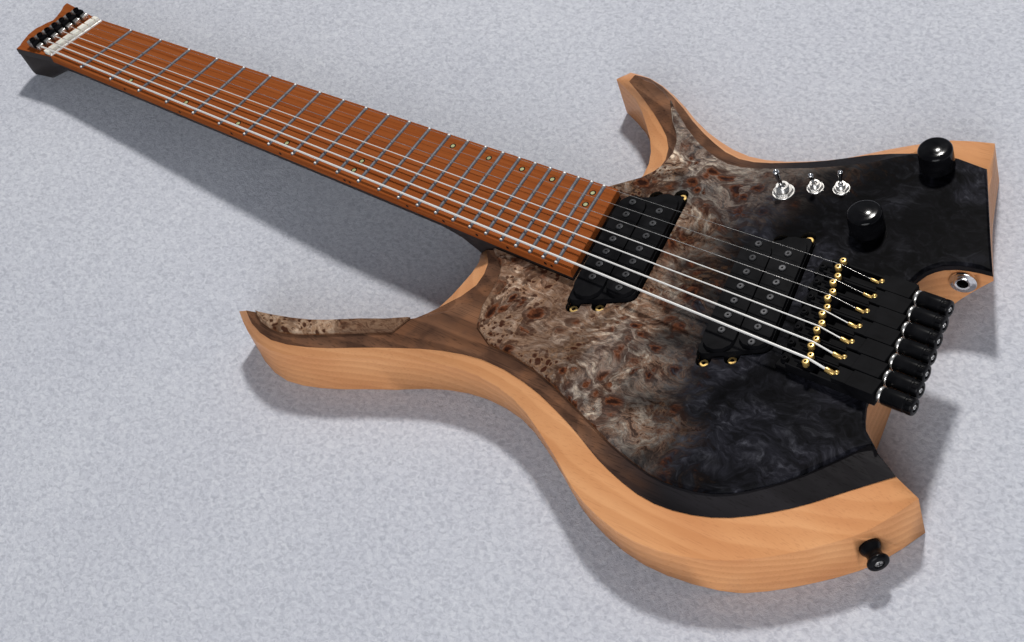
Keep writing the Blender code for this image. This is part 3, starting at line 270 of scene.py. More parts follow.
def surface(name, roughness=0.5, metallic=0.0, **shader_values):
    """A new material with its Principled shader and Object coordinates."""
    made = bpy.data.materials.new(name)
    made.use_nodes = True
    tree = made.node_tree
    shader = tree.nodes["Principled BSDF"]
    shader.inputs["Roughness"].default_value = roughness
    shader.inputs["Metallic"].default_value = metallic
    for label, value in shader_values.items():
        shader.inputs[label.replace("_", " ")].default_value = value
    where = tree.nodes.new("ShaderNodeTexCoord").outputs["Object"]
    return made, shader, where


def bumped(shader, height, distance, strength=1.0):
    """Lets a value lift the surface, by at most distance in metres."""
    made = add("Bump", {"Height": height, "Distance": distance, "Strength": strength})
    feed(shader.inputs["Normal"], made.outputs["Normal"])


def group(name, inputs, outputs):
    """An empty node group with named inputs and outputs."""
    tree = bpy.data.node_groups.new(name, "ShaderNodeTree")
    for label, value in inputs.items():
        kind = "Vector" if value is None else "Float"
        socket = tree.interface.new_socket(label, in_out="INPUT", socket_type="NodeSocket" + kind)
        if value is not None:
            socket.default_value = value
    for label in outputs:
        tree.interface.new_socket(label, in_out="OUTPUT", socket_type="NodeSocketFloat")
    return tree, tree.nodes.new("NodeGroupInput").outputs, tree.nodes.new("NodeGroupOutput").inputs


def use(shared, sockets):
    """A node group placed in a material, with its own values."""
    return add("Group", sockets, node_tree=shared).outputs


print("helpers ready")

# %% [markdown]
# ## The cloth
# The guitar lies on a pale blue-grey cloth, slightly mottled. It is flat under the body and rises a little
# to the head, because the neck's shadow lies closer to the neck than it would on a flat table. It is a
# plane, cut across where it bends. Real folds would only pull the eye from the guitar.

# %% Cloth
CLOTH_SIZE = 6.0
CLOTH_DROP = 0.0002        # under the lowest point of the guitar
RAMP_START = -0.235        # past the tips of the horns
RAMP_END = -0.60
RAMP_HEIGHT = 0.0192       # just under the head
RAMP_STEPS = 16
RAMP_SOFTNESS = 0.4        # how much of the rise starts and ends gently
CLOTH_COLOURS = (0.30, (0.46, 0.48, 0.54)), (0.50, (0.59, 0.61, 0.67)), (0.68, (0.68, 0.70, 0.75))
FLECK_COLOURS = (0.35, (0.90, 0.90, 0.91)), (0.62, (1.0, 1.0, 1.0))
CLOUD_COLOURS = (0.3, (0.95, 0.95, 0.96)), (0.7, (1.0, 1.0, 1.0))


def everything(bm):
    return bm.verts[:] + bm.edges[:] + bm.faces[:]


def make_felt():
    felt, shader, where = surface("felt", roughness=0.95, Specular_IOR_Level=0.2)
    clouds = noise(where, 9.0, 2.0)
    mottle = noise(stretched(where, (1.0, 1.35, 1.0), (0, 0, 25)), 300.0, 5.0, 0.8)
    fibres = noise(stretched(where, (1.0, 3.0, 1.0), (0, 0, 60)), 900.0, 2.0)
    colour = tinted(1.0, colours(mottle, *CLOTH_COLOURS), colours(clouds, *CLOUD_COLOURS))
    colour = tinted(1.0, colour, colours(fibres, *FLECK_COLOURS))
    feed(shader.inputs["Base Color"], colour)
    bumped(shader, plus(mottle, fibres), 0.0006, 0.6)
    return felt


def make_floor():
    """A wide cloth, flat under the body and rising gently to the head, which rests on it."""
    bm = bmesh.new()
    bmesh.ops.create_grid(bm, x_segments=1, y_segments=1, size=CLOTH_SIZE)
    for count in range(RAMP_STEPS + 1):
        x = RAMP_START + (RAMP_END - RAMP_START) * count / RAMP_STEPS
        bmesh.ops.bisect_plane(bm, geom=everything(bm), plane_co=(x, 0, 0), plane_no=(1, 0, 0))
    for vert in bm.verts:
        share = min(1.0, max(0.0, (vert.co.x - RAMP_START) / (RAMP_END - RAMP_START)))
        gentle = share * share * (3 - 2 * share)
        vert.co.z = RAMP_HEIGHT * ((1 - RAMP_SOFTNESS) * share + RAMP_SOFTNESS * gentle)
    mesh = bpy.data.meshes.new("floor")
    bm.to_mesh(mesh)
    bm.free()
    mesh.shade_smooth()
    mesh.materials.append(make_felt())
    floor = bpy.data.objects.new("floor", mesh)
    floor.location.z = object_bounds()[0][2] - CLOTH_DROP
    bpy.context.scene.collection.objects.link(floor)
    floor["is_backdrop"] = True
    return floor


floor = make_floor()
print("floor at", round(floor.location.z / MM, 2), "mm")

# %% [markdown]
# ## Shared patterns
# Plain wood has growth rings and long pores. Rings are thin shells, so on a plank they show as slightly
# wavy planes. Where the planes run out through a slanted bevel they draw the contour lines that a flat-sawn
# board is known for. The other shared patterns are a burl's eyes and swirls, and the faint wear that keeps
# black parts from looking flat.

# %% Pattern groups
def make_wood_group():
    """Rings is high in a year's late wood, Pores in a pore, and Tone is slow and runs with the grain."""
    sizes = {"Vector": None, "Ring spacing": 0.004, "Slant": 0.5, "Waviness": 0.004}
    tree, given, out = group("wood_grain", sizes, ["Rings", "Pores", "Tone"])
    along = stretched(given["Vector"], (0.22, 1.0, 1.0))
    wander = minus(noise(along, 14.0, 3.0), 0.5)
    wander = times(wander, times(given["Waviness"], 8.0))
    place = parts_of(given["Vector"])
    depth = plus(place["Z"], times(place["Y"], given["Slant"]))
    years = sums("DIVIDE", plus(depth, wander), given["Ring spacing"])
    year = sums("FRACT", years)
    feed(out["Rings"], times(step(year, 0.0, 0.75), step(year, 1.0, 0.86)))
    lines = noise(stretched(given["Vector"], (28.0, 1500.0, 1500.0)), 1.0, 4.0)
    feed(out["Pores"], step(lines, 0.52, 0.70))
    feed(out["Tone"], noise(along, 32.0, 4.0))
    return tree


def make_burl_group():
    """Swirling fibres round scattered buds, one in each cell of a Voronoi pattern, of varied size."""
    sizes = {"Vector": None, "Eye scale": 105.0, "Eye size": 0.30}
    tree, given, out = group("burl_figure", sizes, ["Swirl", "Fibre", "Eye", "Core", "Rim", "Cloud"])
    bent = warped(given["Vector"], 24.0, 0.030)
    crept = warped(bent, 210.0, 0.0042, 4.0)
    swirl = noise(stretched(crept, (1.0, 1.8, 1.0), (0, 0, 35)), 58.0, 8.0, 1.9, 0.66)
    strand = noise(stretched(crept, (1.0, 3.4, 1.0), (0, 0, -25)), 120.0, 7.0, 1.4, 0.68)
    cell = add("TexVoronoi", {"Vector": crept, "Scale": given["Eye scale"], "Randomness": 1.0}).outputs
    drawn = add("SeparateColor", {"Color": cell["Color"]}).outputs
    size = times(given["Eye size"], plus(0.18, drawn["Red"]))
    nibbled = times(minus(noise(given["Vector"], 620.0, 3.0), 0.5), 0.30)
    inside = sums("DIVIDE", plus(cell["Distance"], nibbled), size)
    feed(out["Swirl"], swirl)
    feed(out["Fibre"], strand)
    feed(out["Eye"], step(inside, 1.0, 0.66))
    feed(out["Core"], step(inside, 0.70, 0.28))
    feed(out["Rim"], times(step(inside, 1.7, 1.1), step(inside, 0.7, 1.0)))
    feed(out["Cloud"], noise(bent, 17.0, 3.0, 0.8))
    return tree


def make_wear_group():
    """Dust in fine specks, smears from handling, and hair scratches."""
    tree, given, out = group("handling_wear", {"Vector": None, "Scale": 1.0}, ["Dust", "Smear", "Scratch"])
    speck = noise(given["Vector"], times(given["Scale"], 1900.0), 2.0)
    smear = noise(given["Vector"], times(given["Scale"], 90.0), 4.0, 0.5)
    drawn = stretched(given["Vector"], (80.0, 2600.0, 2600.0), (0, 0, 23))
    hair = noise(drawn, given["Scale"], 2.0)
    feed(out["Dust"], step(speck, 0.66, 0.78))
    feed(out["Smear"], smear)
    feed(out["Scratch"], step(hair, 0.62, 0.72))
    return tree


WOOD = make_wood_group()
BURL = make_burl_group()
WEAR = make_wear_group()
print("pattern groups:", WOOD.name, BURL.name, WEAR.name)

# %% [markdown]
# ## Plain woods
# The body is pale ash under an oil finish, so the bevels glow orange and the walls stay a dusty pink brown.
# The stained band over it is ash too, which goes from brown at the horns to black at the tail.
# The fretboard is roasted maple: the oven turns it the colour of tea all through.

# %% Plain wood materials
ASH_TONES = (0.30, (0.64, 0.285, 0.120)), (0.50, (0.72, 0.345, 0.150)), (0.72, (0.78, 0.400, 0.185))
BAND_TONES = (0.30, (0.110, 0.052, 0.031)), (0.52, (0.185, 0.092, 0.054)), (0.72, (0.260, 0.140, 0.086))
BAND_STAIN = (0.38, (0.55, 0.56, 0.60)), (0.50, (0.95, 0.94, 0.92)), (0.62, (1.25, 1.16, 1.02))
BAND_BLACK = (0.35, (0.010, 0.009, 0.010)), (0.65, (0.026, 0.024, 0.027))
MAPLE_TONES = (0.36, (0.245, 0.062, 0.015)), (0.50, (0.280, 0.076, 0.019)), (0.64, (0.312, 0.091, 0.026))


def grain(where, spacing, slant, waviness):
    return use(WOOD, {"Vector": where, "Ring spacing": spacing, "Slant": slant, "Waviness": waviness})


def pored(shader, wood, colour, share, pore_colour, depth, strength):
    """Ends a wood: its pores are darker by a share, and sunk."""
    colour = blended(times(wood["Pores"], share), colour, pore_colour)
    feed(shader.inputs["Base Color"], colour)
    bumped(shader, minus(1.0, wood["Pores"]), depth, strength)


def roughened(shader, least, value, more):
    """Roughness that goes up from least by more times a value."""
    feed(shader.inputs["Roughness"], plus(least, times(value, more)))


def make_ash():
    ash, shader, where = surface("natural_ash", Specular_IOR_Level=0.16)
    wood = grain(where, 0.0056, 0.30, 0.0034)
    pale = colours(wood["Tone"], *ASH_TONES)
    late = blended(times(wood["Rings"], 0.26), pale, (0.46, 0.165, 0.054))
    pored(shader, wood, late, 0.24, (0.38, 0.14, 0.052), 0.00006, 0.5)
    roughened(shader, 0.42, wood["Pores"], 0.20)
    return ash


def make_band():
    band, shader, where = surface(
        "stained_ash", Coat_Weight=0.02, Coat_Roughness=0.2, Specular_IOR_Level=0.03)
    wood = grain(where, 0.0050, 0.34, 0.0032)
    place = parts_of(where)
    brown = colours(wood["Tone"], *BAND_TONES)
    brown = blended(times(wood["Rings"], 0.50), brown, (0.055, 0.028, 0.019))
    brown = tinted(0.8, brown, colours(noise(where, 38.0, 4.0, 0.8), *BAND_STAIN))
    treble = step(place["Y"], 0.0, 0.05)
    spread = plus(place["X"], times(wood["Tone"], 0.05))
    stained = step(plus(spread, times(treble, 0.06)), 0.045, 0.12)
    colour = blended(stained, brown, colours(wood["Tone"], *BAND_BLACK))
    pored(shader, wood, colour, 0.5, (0.006, 0.005, 0.005), 0.00005, 0.4)
    roughened(shader, 0.38, wood["Pores"], 0.25)
    return band


def make_maple():
    maple, shader, where = surface("roasted_maple", Specular_IOR_Level=0.012)
    wood = grain(where, 0.0041, 2.1, 0.0022)
    streaks = noise(stretched(where, (7.0, 520.0, 520.0)), 1.0, 4.0)
    tea = colours(streaks, *MAPLE_TONES)
    warm = blended(times(wood["Rings"], 0.10), tea, (0.200, 0.046, 0.012))
    pored(shader, wood, warm, 0.40, (0.160, 0.045, 0.016), 0.00004, 0.4)
    roughened(shader, 0.50, streaks, 0.12)
    return maple


ASH = make_ash()
BAND = make_band()
MAPLE = make_maple()
print("plain woods:", ASH.name, BAND.name, MAPLE.name)

# %% [markdown]
# ## The burl
# A burl is a knotty growth full of buds. Sawn thin, it shows cream and brown swirls with dark red eyes in
# them. The stain is a mask of place and noise: bare wood by the neck, black by the tail, and a ragged way
# between. The eyes come in clusters, with a finer kind near the neck, so the figure isn't even all over.

# %% Burl material
GROUND_COLOURS = (
    (0.38, (0.030, 0.018, 0.014)), (0.43, (0.080, 0.048, 0.035)), (0.465, (0.235, 0.145, 0.100)),
    (0.495, (0.100, 0.074, 0.062)), (0.525, (0.34, 0.240, 0.175)), (0.55, (0.19, 0.165, 0.148)),
    (0.61, (0.60, 0.50, 0.40)),
)
STRAND_SHADES = (0.36, (0.55, 0.52, 0.50)), (0.48, (0.95, 0.93, 0.91)), (0.62, (1.30, 1.28, 1.25))
PATCH_SHADES = (0.40, (0.27, 0.27, 0.29)), (0.49, (0.82, 0.80, 0.79)), (0.59, (1.42, 1.38, 1.32))
STAIN_COLOURS = (
    (0.38, (0.0025, 0.0025, 0.0032)), (0.52, (0.007, 0.007, 0.009)), (0.62, (0.016, 0.016, 0.019)),
    (0.72, (0.036, 0.037, 0.042)),
)
STAIN_CLOUDS = (0.42, (0.35, 0.35, 0.38)), (0.50, (0.90, 0.91, 0.94)), (0.60, (2.00, 2.02, 2.15))
SHOULDER = (0.0414, 0.0404)            # heights between which the burl's eased edge begins


def zone(place, along, across):
    """1 beyond an edge along X and one across Y. Each edge is the two places between which it rises."""
    return times(step(place["X"], *along), step(place["Y"], *across))


def stain_mask(place, figure):
    """0 where the wood is bare and 1 where it is black. The stain reaches furthest forward by the strings."""
    aside = sums("ABSOLUTE", minus(place["Y"], 0.03))
    reach = minus(place["X"], times(aside, 0.43))
    ragged = times(minus(figure["Swirl"], 0.5), 0.11)
    patchy = times(minus(figure["Cloud"], 0.5), 0.06)
    return step(plus(reach, plus(ragged, patchy)), -0.028, 0.042)


def burl_ground(place, figure, strand, patch, thread):
    """The wood between the buds: greyer in clouds, paler on the waist and warmer by the neck."""
    ground = tinted(0.85, colours(figure["Swirl"], *GROUND_COLOURS), strand)
    ground = tinted(1.0, ground, colours(patch, *PATCH_SHADES))
    grey = times(step(figure["Cloud"], 0.50, 0.62), 0.50)
    ground = blended(grey, ground, blended(thread, (0.060, 0.058, 0.060), (0.24, 0.225, 0.210)))
    waist = times(zone(place, (-0.055, -0.085), (-0.055, -0.078)), 0.55)
    ground = blended(waist, ground, blended(thread, (0.17, 0.115, 0.075), (0.46, 0.36, 0.25)))
    warm = times(zone(place, (0.03, -0.05), (0.02, -0.03)), 0.42)
    return blended(warm, ground, blended(thread, (0.22, 0.115, 0.068), (0.48, 0.30, 0.20)))


def burl_eyes(where, place, figure, ground, thread):
    """The buds: many small ones near the neck, and clusters of large ones with dark rims and cores."""
    turned = stretched(where, (1, 1, 1), (0, 0, 70))
    small = use(BURL, {"Vector": turned, "Eye scale": 255.0, "Eye size": 0.50})
    near_neck = zone(place, (-0.02, -0.06), (0.02, -0.04))
    many = times(sums("MAXIMUM", near_neck, step(figure["Cloud"], 0.50, 0.40)), 0.92)
    look = blended(times(small["Rim"], times(many, 0.35)), ground, (0.30, 0.160, 0.080))
    look = blended(times(small["Eye"], many), look, (0.042, 0.012, 0.006))
    cluster = step(noise(where, 24.0, 2.0), 0.44, 0.55)
    look = blended(times(figure["Rim"], times(cluster, 0.75)), look, (0.040, 0.016, 0.010))
    bud = blended(thread, (0.060, 0.020, 0.010), (0.155, 0.052, 0.023))
    look = blended(times(figure["Eye"], cluster), look, bud)
    return blended(times(figure["Core"], times(cluster, 0.9)), look, (0.012, 0.005, 0.004))


def burl_edges(place, look, thread):
    """The eased edge is a darker brown, and the figure fades toward the stripe across the bass horn."""
    darker_edge = times(step(place["Z"], *SHOULDER), 0.75)
    look = blended(darker_edge, look, (0.135, 0.050, 0.018))
    waist_end = times(step(place["X"], -0.072, -0.094), step(place["X"], -0.125, -0.112))
    horn_end = times(step(place["X"], -0.168, -0.140), step(place["X"], -0.106, -0.125))
    highlight_ends = times(sums("MAXIMUM", waist_end, horn_end), step(place["Y"], -0.040, -0.060))
    faded = blended(thread, (0.090, 0.045, 0.028), (0.190, 0.110, 0.068))
    return blended(times(highlight_ends, 0.85), look, faded)


def make_burl():
    burl, shader, where = surface(
        "stained_burl", Coat_Weight=0.02, Coat_Roughness=0.12, Specular_IOR_Level=0.012)
    figure = use(BURL, {"Vector": where, "Eye scale": 100.0, "Eye size": 0.54})
    place = parts_of(where)
    strand = colours(figure["Fibre"], *STRAND_SHADES)
    patch = noise(where, 21.0, 3.0, 1.2)
    thread = step(figure["Fibre"], 0.38, 0.62)
    look = burl_ground(place, figure, strand, patch, thread)
    look = burl_eyes(where, place, figure, look, thread)
    look = burl_edges(place, look, thread)
    black = tinted(0.3, colours(figure["Swirl"], *STAIN_COLOURS), strand)
    black = tinted(1.0, black, colours(patch, *STAIN_CLOUDS))
    feed(shader.inputs["Base Color"], blended(stain_mask(place, figure), look, black))
    roughened(shader, 0.32, figure["Cloud"], 0.16)
    bumped(shader, minus(figure["Fibre"], figure["Core"]), 0.00002, 0.15)
    return burl


BURL_TOP = make_burl()
print("burl:", BURL_TOP.name)

# %% [markdown]
# ## Metals, plastics and bone
# Black parts are never one flat black: dust, handling and fine scratches change how they shine. One
# function makes every metal and plastic from a colour, a roughness and how metallic it is, with that wear
# on top.

# %% Hard materials
def worn(name, colour, roughness, metallic, dust, wear_scale=1.0, **shader_values):
    """A metal or plastic with smears, specks of dust and hair scratches."""
    made, shader, where = surface(name, roughness, metallic, **shader_values)
    wear = use(WEAR, {"Vector": where, "Scale": wear_scale})
    deep = tuple(part * 0.72 for part in colour)
    light = tuple(min(1.0, part * 1.18 + 0.004) for part in colour)
    greyed = tuple(min(1.0, part * 0.6 + 0.13) for part in colour)
    base = colours(wear["Smear"], (0.30, deep), (0.70, light))
    feed(shader.inputs["Base Color"], blended(times(wear["Dust"], dust), base, greyed))
    rough = plus(roughness - 0.06, times(wear["Smear"], 0.12))
    rough = sums("ADD", rough, times(wear["Scratch"], 0.10), clamp=True)
    feed(shader.inputs["Roughness"], rough)
    bumped(shader, wear["Scratch"], 0.00001, 0.25)
    return made


LACQUER = worn("black_lacquer", (0.016, 0.011, 0.010), 0.40, 0.0, 0.12, Specular_IOR_Level=0.12)
BLACK_METAL = worn("black_metal", (0.003, 0.003, 0.004), 0.46, 0.0, 0.03, Specular_IOR_Level=0.02)
BLACK_PLASTIC = worn("black_plastic", (0.004, 0.004, 0.005), 0.40, 0.0, 0.04, Specular_IOR_Level=0.025)
SATIN_BLACK = worn("satin_black", (0.004, 0.004, 0.005), 0.24, 0.0, 0.03, Specular_IOR_Level=0.10)
GLOSS_BLACK = worn("gloss_black", (0.003, 0.003, 0.004), 0.13, 0.0, 0.03, Specular_IOR_Level=0.16)
# Black shielding paint for the routs, also used as painted shade in the strap screws' cross recesses.
ROUT_PAINT_AND_RECESS_SHADE = worn("rout_paint_and_recess_shade", (0.008, 0.008, 0.009), 0.70, 0.0, 0.40)
STEEL = worn("steel", (0.80, 0.78, 0.75), 0.26, 0.9, 0.10, 2.0)
FRET_METAL = worn("fret_metal", (0.150, 0.158, 0.180), 0.50, 0.2, 0.06, 2.0, Specular_IOR_Level=0.2)
# A lit copy of the fret metal: painted highlight for the fret ends and the zero fret.
FRET_HIGHLIGHT_METAL = worn("painted_highlight_metal", (0.86, 0.85, 0.82), 0.38, 0.35, 0.08, 2.0)
POLE_METAL = worn("pole_metal", (0.10, 0.10, 0.105), 0.24, 0.8, 0.08, 2.0)
GREY_METAL = worn("grey_metal", (0.36, 0.35, 0.34), 0.40, 0.6, 0.15, 2.0)
CHROME = worn("chrome", (0.82, 0.82, 0.83), 0.10, 1.0, 0.08, 1.5)
GOLD = worn("gold", (0.90, 0.58, 0.20), 0.30, 0.75, 0.08, 2.0)
BONE = worn("bone", (0.82, 0.79, 0.71), 0.42, 0.0, 0.10, Subsurface_Weight=0.05)
DOT_SHELL = worn("dot_shell", (0.42, 0.44, 0.22), 0.40, 0.0, 0.15, 3.0)
CAD_FINISH = {
    "natural_ash": ASH, "stained_ash": BAND, "burl": BURL_TOP, "roasted_maple": MAPLE, "bone": BONE,
    "black_lacquer": LACQUER, "black_metal": BLACK_METAL, "black_plastic": BLACK_PLASTIC, "steel": STEEL,
    "chrome": CHROME,
}
for name, node in frame["nodes"].items():
    slot = node.data.materials[0].name.split(".")[0]
    node.material_slots[0].material = CAD_FINISH[slot]
print("finishes:", len(CAD_FINISH))

# %% [markdown]
# ## The body
# The body was sawn from a plank and bevelled, and sandpaper rounded the rims of its wall and of its back.
# The measured pieces have the right shape but hard facets, so each gets a copy that stands in its place.
# The copy is welded, those rims are rounded with the bevel operator, and its curved walls are shaded
# smooth. The hollows for the pickups and controls are painted black, as a screen against hum. From here on
# a place is in metres, as the frame gives it, and a size such as a width or radius is in millimetres.

# %% Body with eased edges
WELD = 0.00002             # metres
SMOOTH_ANGLE = 33.0        # degrees: a sharper edge stays sharp in the shading
FLAT_AREA = 0.0000003      # a level face larger than this, in square metres, is shaded flat
LYING_FLAT = 0.9995
WALL_TOP = 30.0 * MM
CORE_TOP = 36.0 * MM
BODY_TOP = 42.0 * MM
ROUT_FLOOR = 2.5 * MM      # above the recess of the back cover
ROUT_MARGIN = 3.2 * MM     # how far a rout's walls can stand from the piece in it


def cad_copy(node, joined=True):
    """The measured piece as an editable mesh, its points welded and its flat faces joined."""
    bm = bmesh.new()
    bm.from_mesh(frame["nodes"][node].data)
    bmesh.ops.remove_doubles(bm, verts=bm.verts, dist=WELD)
    if joined:
        bmesh.ops.dissolve_limit(bm, angle_limit=math.radians(0.6), verts=bm.verts, edges=bm.edges)
    bm.normal_update()
    return bm


def level(edge, height, within=0.3 * MM):
    return all(abs(vert.co.z - height) < within for vert in edge.verts)


def sharp(bm, angle, *heights):
    """The edges that fold by more than an angle in degrees, anywhere or at the heights given."""
    found = [edge for edge in bm.edges if math.degrees(edge.calc_face_angle(0.0)) > angle]
    return [edge for edge in found if not heights or any(level(edge, height) for height in heights)]


def rounded(bm, edges, width, segments, clamped=False):
    """Rounds edges. Where a bevel could run past its neighbours, it is clamped."""
    bmesh.ops.bevel(bm, geom=edges, offset=width * MM, offset_type="OFFSET", segments=segments, profile=0.5,
                    affect="EDGES", clamp_overlap=clamped, material=-1)


def eased(bm, edges, width, segments):
    """Rounds edges and welds what that brings together."""
    rounded(bm, edges, width, segments, clamped=True)
    bmesh.ops.remove_doubles(bm, verts=bm.verts, dist=WELD / 2)


def piece(bm, name, material, body="guitar", smooth=SMOOTH_ANGLE, stands_for=(), second=None):
    """The finished object of a mesh, riding on its body."""
    bm.normal_update()
    mesh = bpy.data.meshes.new(name)
    bm.to_mesh(mesh)
    bm.free()
    mesh.materials.append(material)
    if second:
        mesh.materials.append(second)
    mesh.shade_smooth()
    mesh.set_sharp_from_angle(angle=math.radians(smooth))
    for face in mesh.polygons:
        face.use_smooth = face.area < FLAT_AREA or abs(face.normal.z) < LYING_FLAT
    obj = bpy.data.objects.new(name, mesh)
    bpy.context.scene.collection.objects.link(obj)
    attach(obj, body)
    if stands_for:
        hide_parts(*stands_for)
    return obj


def painted(bm):
    """Gives the walls and floors of the pickup routs and the control cavity the second material.

    A rout's wall looks toward the rout's middle, and the body's own outer wall looks away from it.
    """
    rooms = [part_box(name) for name in ("pickup_neck", "pickup_bridge", "cavity_cover")]
    layer = CORE_TOP - 0.5 * MM
    for face in bm.faces:
        at = face.calc_center_median()
        upright = abs(face.normal.z) < 0.5
        inner = ROUT_FLOOR < at.z < layer or upright and layer < at.z < BODY_TOP - 0.2 * MM
        for low, high in rooms:
            beside = all(low[axis] - ROUT_MARGIN < at[axis] < high[axis] + ROUT_MARGIN for axis in (0, 1))
            toward = ((low + high) / 2 - at).xy.dot(face.normal.xy) > 0.0
            if inner and beside and (toward or abs(face.normal.z) > 0.99):
                face.material_index = 1


def make_core():
    bm = cad_copy("body_core")
    eased(bm, sharp(bm, 8, WALL_TOP), 1.6, 3)
    bm.normal_update()
    eased(bm, sharp(bm, 60, 0.0), 1.2, 2)
    bm.normal_update()
    painted(bm)
    return piece(
        bm, "body_wood", ASH, smooth=42.0, stands_for=["body_core"], second=ROUT_PAINT_AND_RECESS_SHADE)


def unfolded(bm):
    """Where the outline turns tightly, its level face folds over. A fold's short side becomes a point."""
    downward = [face for face in bm.faces if face.normal.z < -0.5]
    folds = [face for face in downward if all(vert.co.z > BODY_TOP - 0.1 * MM for vert in face.verts)]
    short = [min(face.edges, key=lambda edge: edge.calc_length()) for face in folds]
    bmesh.ops.collapse(bm, edges=list(dict.fromkeys(short)))
    bm.normal_update()
    return len(folds)


def make_sheet(node, name, material, smooth):
    """A top layer, whose edge was already shaped with its outline."""
    bm = cad_copy(node, joined=False)
    print(name, "folds closed:", unfolded(bm))
    painted(bm)
    return piece(bm, name, material, smooth=smooth, stands_for=[node], second=ROUT_PAINT_AND_RECESS_SHADE)


core = make_core()
make_sheet("stained_cap", "stained_band", BAND, 9.0)
burl_sheet = make_sheet("burl_top", "burl_sheet", BURL_TOP, SMOOTH_ANGLE)
make_sheet("burl_horn", "burl_horn_sheet", BURL_TOP, SMOOTH_ANGLE)
print("body:", len(core.data.polygons), "faces, burl:", len(burl_sheet.data.polygons))

# %% [markdown]
# ## The fretboard
# A real fretboard is a slab of roasted maple with slots sawn across it, and the frets are wire pressed into
# the slots. The frets fan out, so each one is a line between two points: one on the bass scale and one on
# the treble scale. The wood here is a copy of the measured board, cut off just under the frets so that they
# can be metal.

# %% Fretboard
SCALE_BASS = 673.1 * MM
SCALE_TREBLE = 647.7 * MM
NEUTRAL_FRET = 7
BRIDGE_BASS_X = 113.1 * MM
NUT_SPREAD = 39.6 * MM
BRIDGE_SPREAD = 64.7 * MM
BOARD_TOP = 50.0 * MM
BOARD_CUT = 49.95 * MM
BOARD_HALF_NUT = 23.8 * MM
BOARD_HALF_END = 33.4 * MM
BOARD_END_X = -42.5 * MM


def scale_share(fret):
    return 1.0 - 2.0 ** (-fret / 12.0)


NUT_BASS_X = BRIDGE_BASS_X - SCALE_BASS
NUT_TREBLE_X = NUT_BASS_X + (SCALE_BASS - SCALE_TREBLE) * scale_share(NEUTRAL_FRET)
BRIDGE_TREBLE_X = NUT_TREBLE_X + SCALE_TREBLE


def mix(start, end, share):
    return start + (end - start) * share


def fan(side, share):
    """A point over the board. Side is -1 at the bass and 1 at the treble, share goes from nut to bridge."""
    half = (side + 1.0) / 2.0
    x = mix(mix(NUT_BASS_X, NUT_TREBLE_X, half), mix(BRIDGE_BASS_X, BRIDGE_TREBLE_X, half), share)
    return x, side * mix(NUT_SPREAD, BRIDGE_SPREAD, share) / 2


def board_half(x):
    return mix(BOARD_HALF_NUT, BOARD_HALF_END, max(0.0, (x - NUT_BASS_X) / (BOARD_END_X - NUT_BASS_X)))


def make_board():
    bm = cad_copy("fingerboard")
    cut = bmesh.ops.bisect_plane(bm, geom=everything(bm), dist=1e-7, plane_co=(0, 0, BOARD_CUT),
                                 plane_no=(0, 0, 1), clear_outer=True)
    rim = [part for part in cut["geom_cut"] if isinstance(part, bmesh.types.BMEdge)]
    bmesh.ops.triangle_fill(bm, edges=rim, use_beauty=True, use_dissolve=False)
    bmesh.ops.recalc_face_normals(bm, faces=bm.faces)
    bmesh.ops.dissolve_limit(bm, angle_limit=math.radians(0.5), verts=bm.verts, edges=bm.edges)
    bm.normal_update()
    nut_low, nut_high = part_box("nut")
    outer = []
    for edge in sharp(bm, 60, BOARD_CUT):
        at = (edge.verts[0].co + edge.verts[1].co) / 2
        by_nut = nut_low.x - MM < at.x < nut_high.x + MM and abs(at.y) < nut_high.y + MM
        if not by_nut:
            outer.append(edge)
    eased(bm, outer, 0.7, 3)
    bm.normal_update()
    for face in bm.faces:
        if abs(face.normal.z) < 0.5 and face.calc_center_median().x < NUT_BASS_X - 2 * MM:
            face.material_index = 1
    return piece(bm, "fretboard", MAPLE, stands_for=["fingerboard"], second=LACQUER)


board = make_board()
print("fretboard:", len(board.data.polygons), "faces")

# %% [markdown]
# ## Small shapes
# Nearly all the hardware is blocks, rods, hex screws and turned parts, so each of these gets one function.
# A turned part is a line of (radius, height) points spun once round its axis, the way a lathe makes it.
# Every sharp rim is eased a little, because a real edge always catches a thin line of light.

# %% Shape helpers
def mm(x, y, z):
    """A place, or a way to go, that is given in millimetres."""
    return Vector((x, y, z)) * MM


def block(low, high, ease=0.0, segments=2):
    """A box between two corners."""
    bm = bmesh.new()
    size = Vector(high) - Vector(low)
    middle = (Vector(high) + Vector(low)) / 2
    bmesh.ops.create_cube(bm, size=1.0, matrix=Matrix.Translation(middle) @ Matrix.Diagonal((*size, 1.0)))
    if ease:
        rounded(bm, bm.edges[:], ease, segments)
    return bm


def rod(radius, height, sides=24, ease=0.0, segments=2):
    """A cylinder standing on the origin, its two rims eased."""
    bm = bmesh.new()
    bmesh.ops.create_cone(bm, cap_ends=True, segments=sides, radius1=radius * MM, radius2=radius * MM,
                          depth=height * MM, matrix=Matrix.Translation((0, 0, height * MM / 2)))
    bm.normal_update()
    if ease:
        rims = [edge for edge in bm.edges if abs(edge.verts[0].co.z - edge.verts[1].co.z) < height * MM / 2]
        rounded(bm, rims, ease, segments)
    return bm


def hex_screw(radius, height, socket, depth, sides, ease):
    """A screw's head standing on the origin, with a six-sided socket sunk in its top."""
    bm = rod(radius, height, sides, ease)
    top = max(bm.faces, key=lambda face: face.calc_center_median().z)
    bmesh.ops.inset_individual(bm, faces=[top], thickness=max(radius - ease - socket, 0.05) * MM, depth=0.0)
    for vert in top.verts:
        angle = math.atan2(vert.co.y, vert.co.x)
        reach = socket * MM * math.cos(math.pi / 6) / math.cos(angle % (math.pi / 3) - math.pi / 6)
        vert.co = Vector((math.cos(angle) * reach, math.sin(angle) * reach, vert.co.z))
    bmesh.ops.inset_individual(bm, faces=[top], thickness=0.02 * MM, depth=-depth * MM)
    return bm


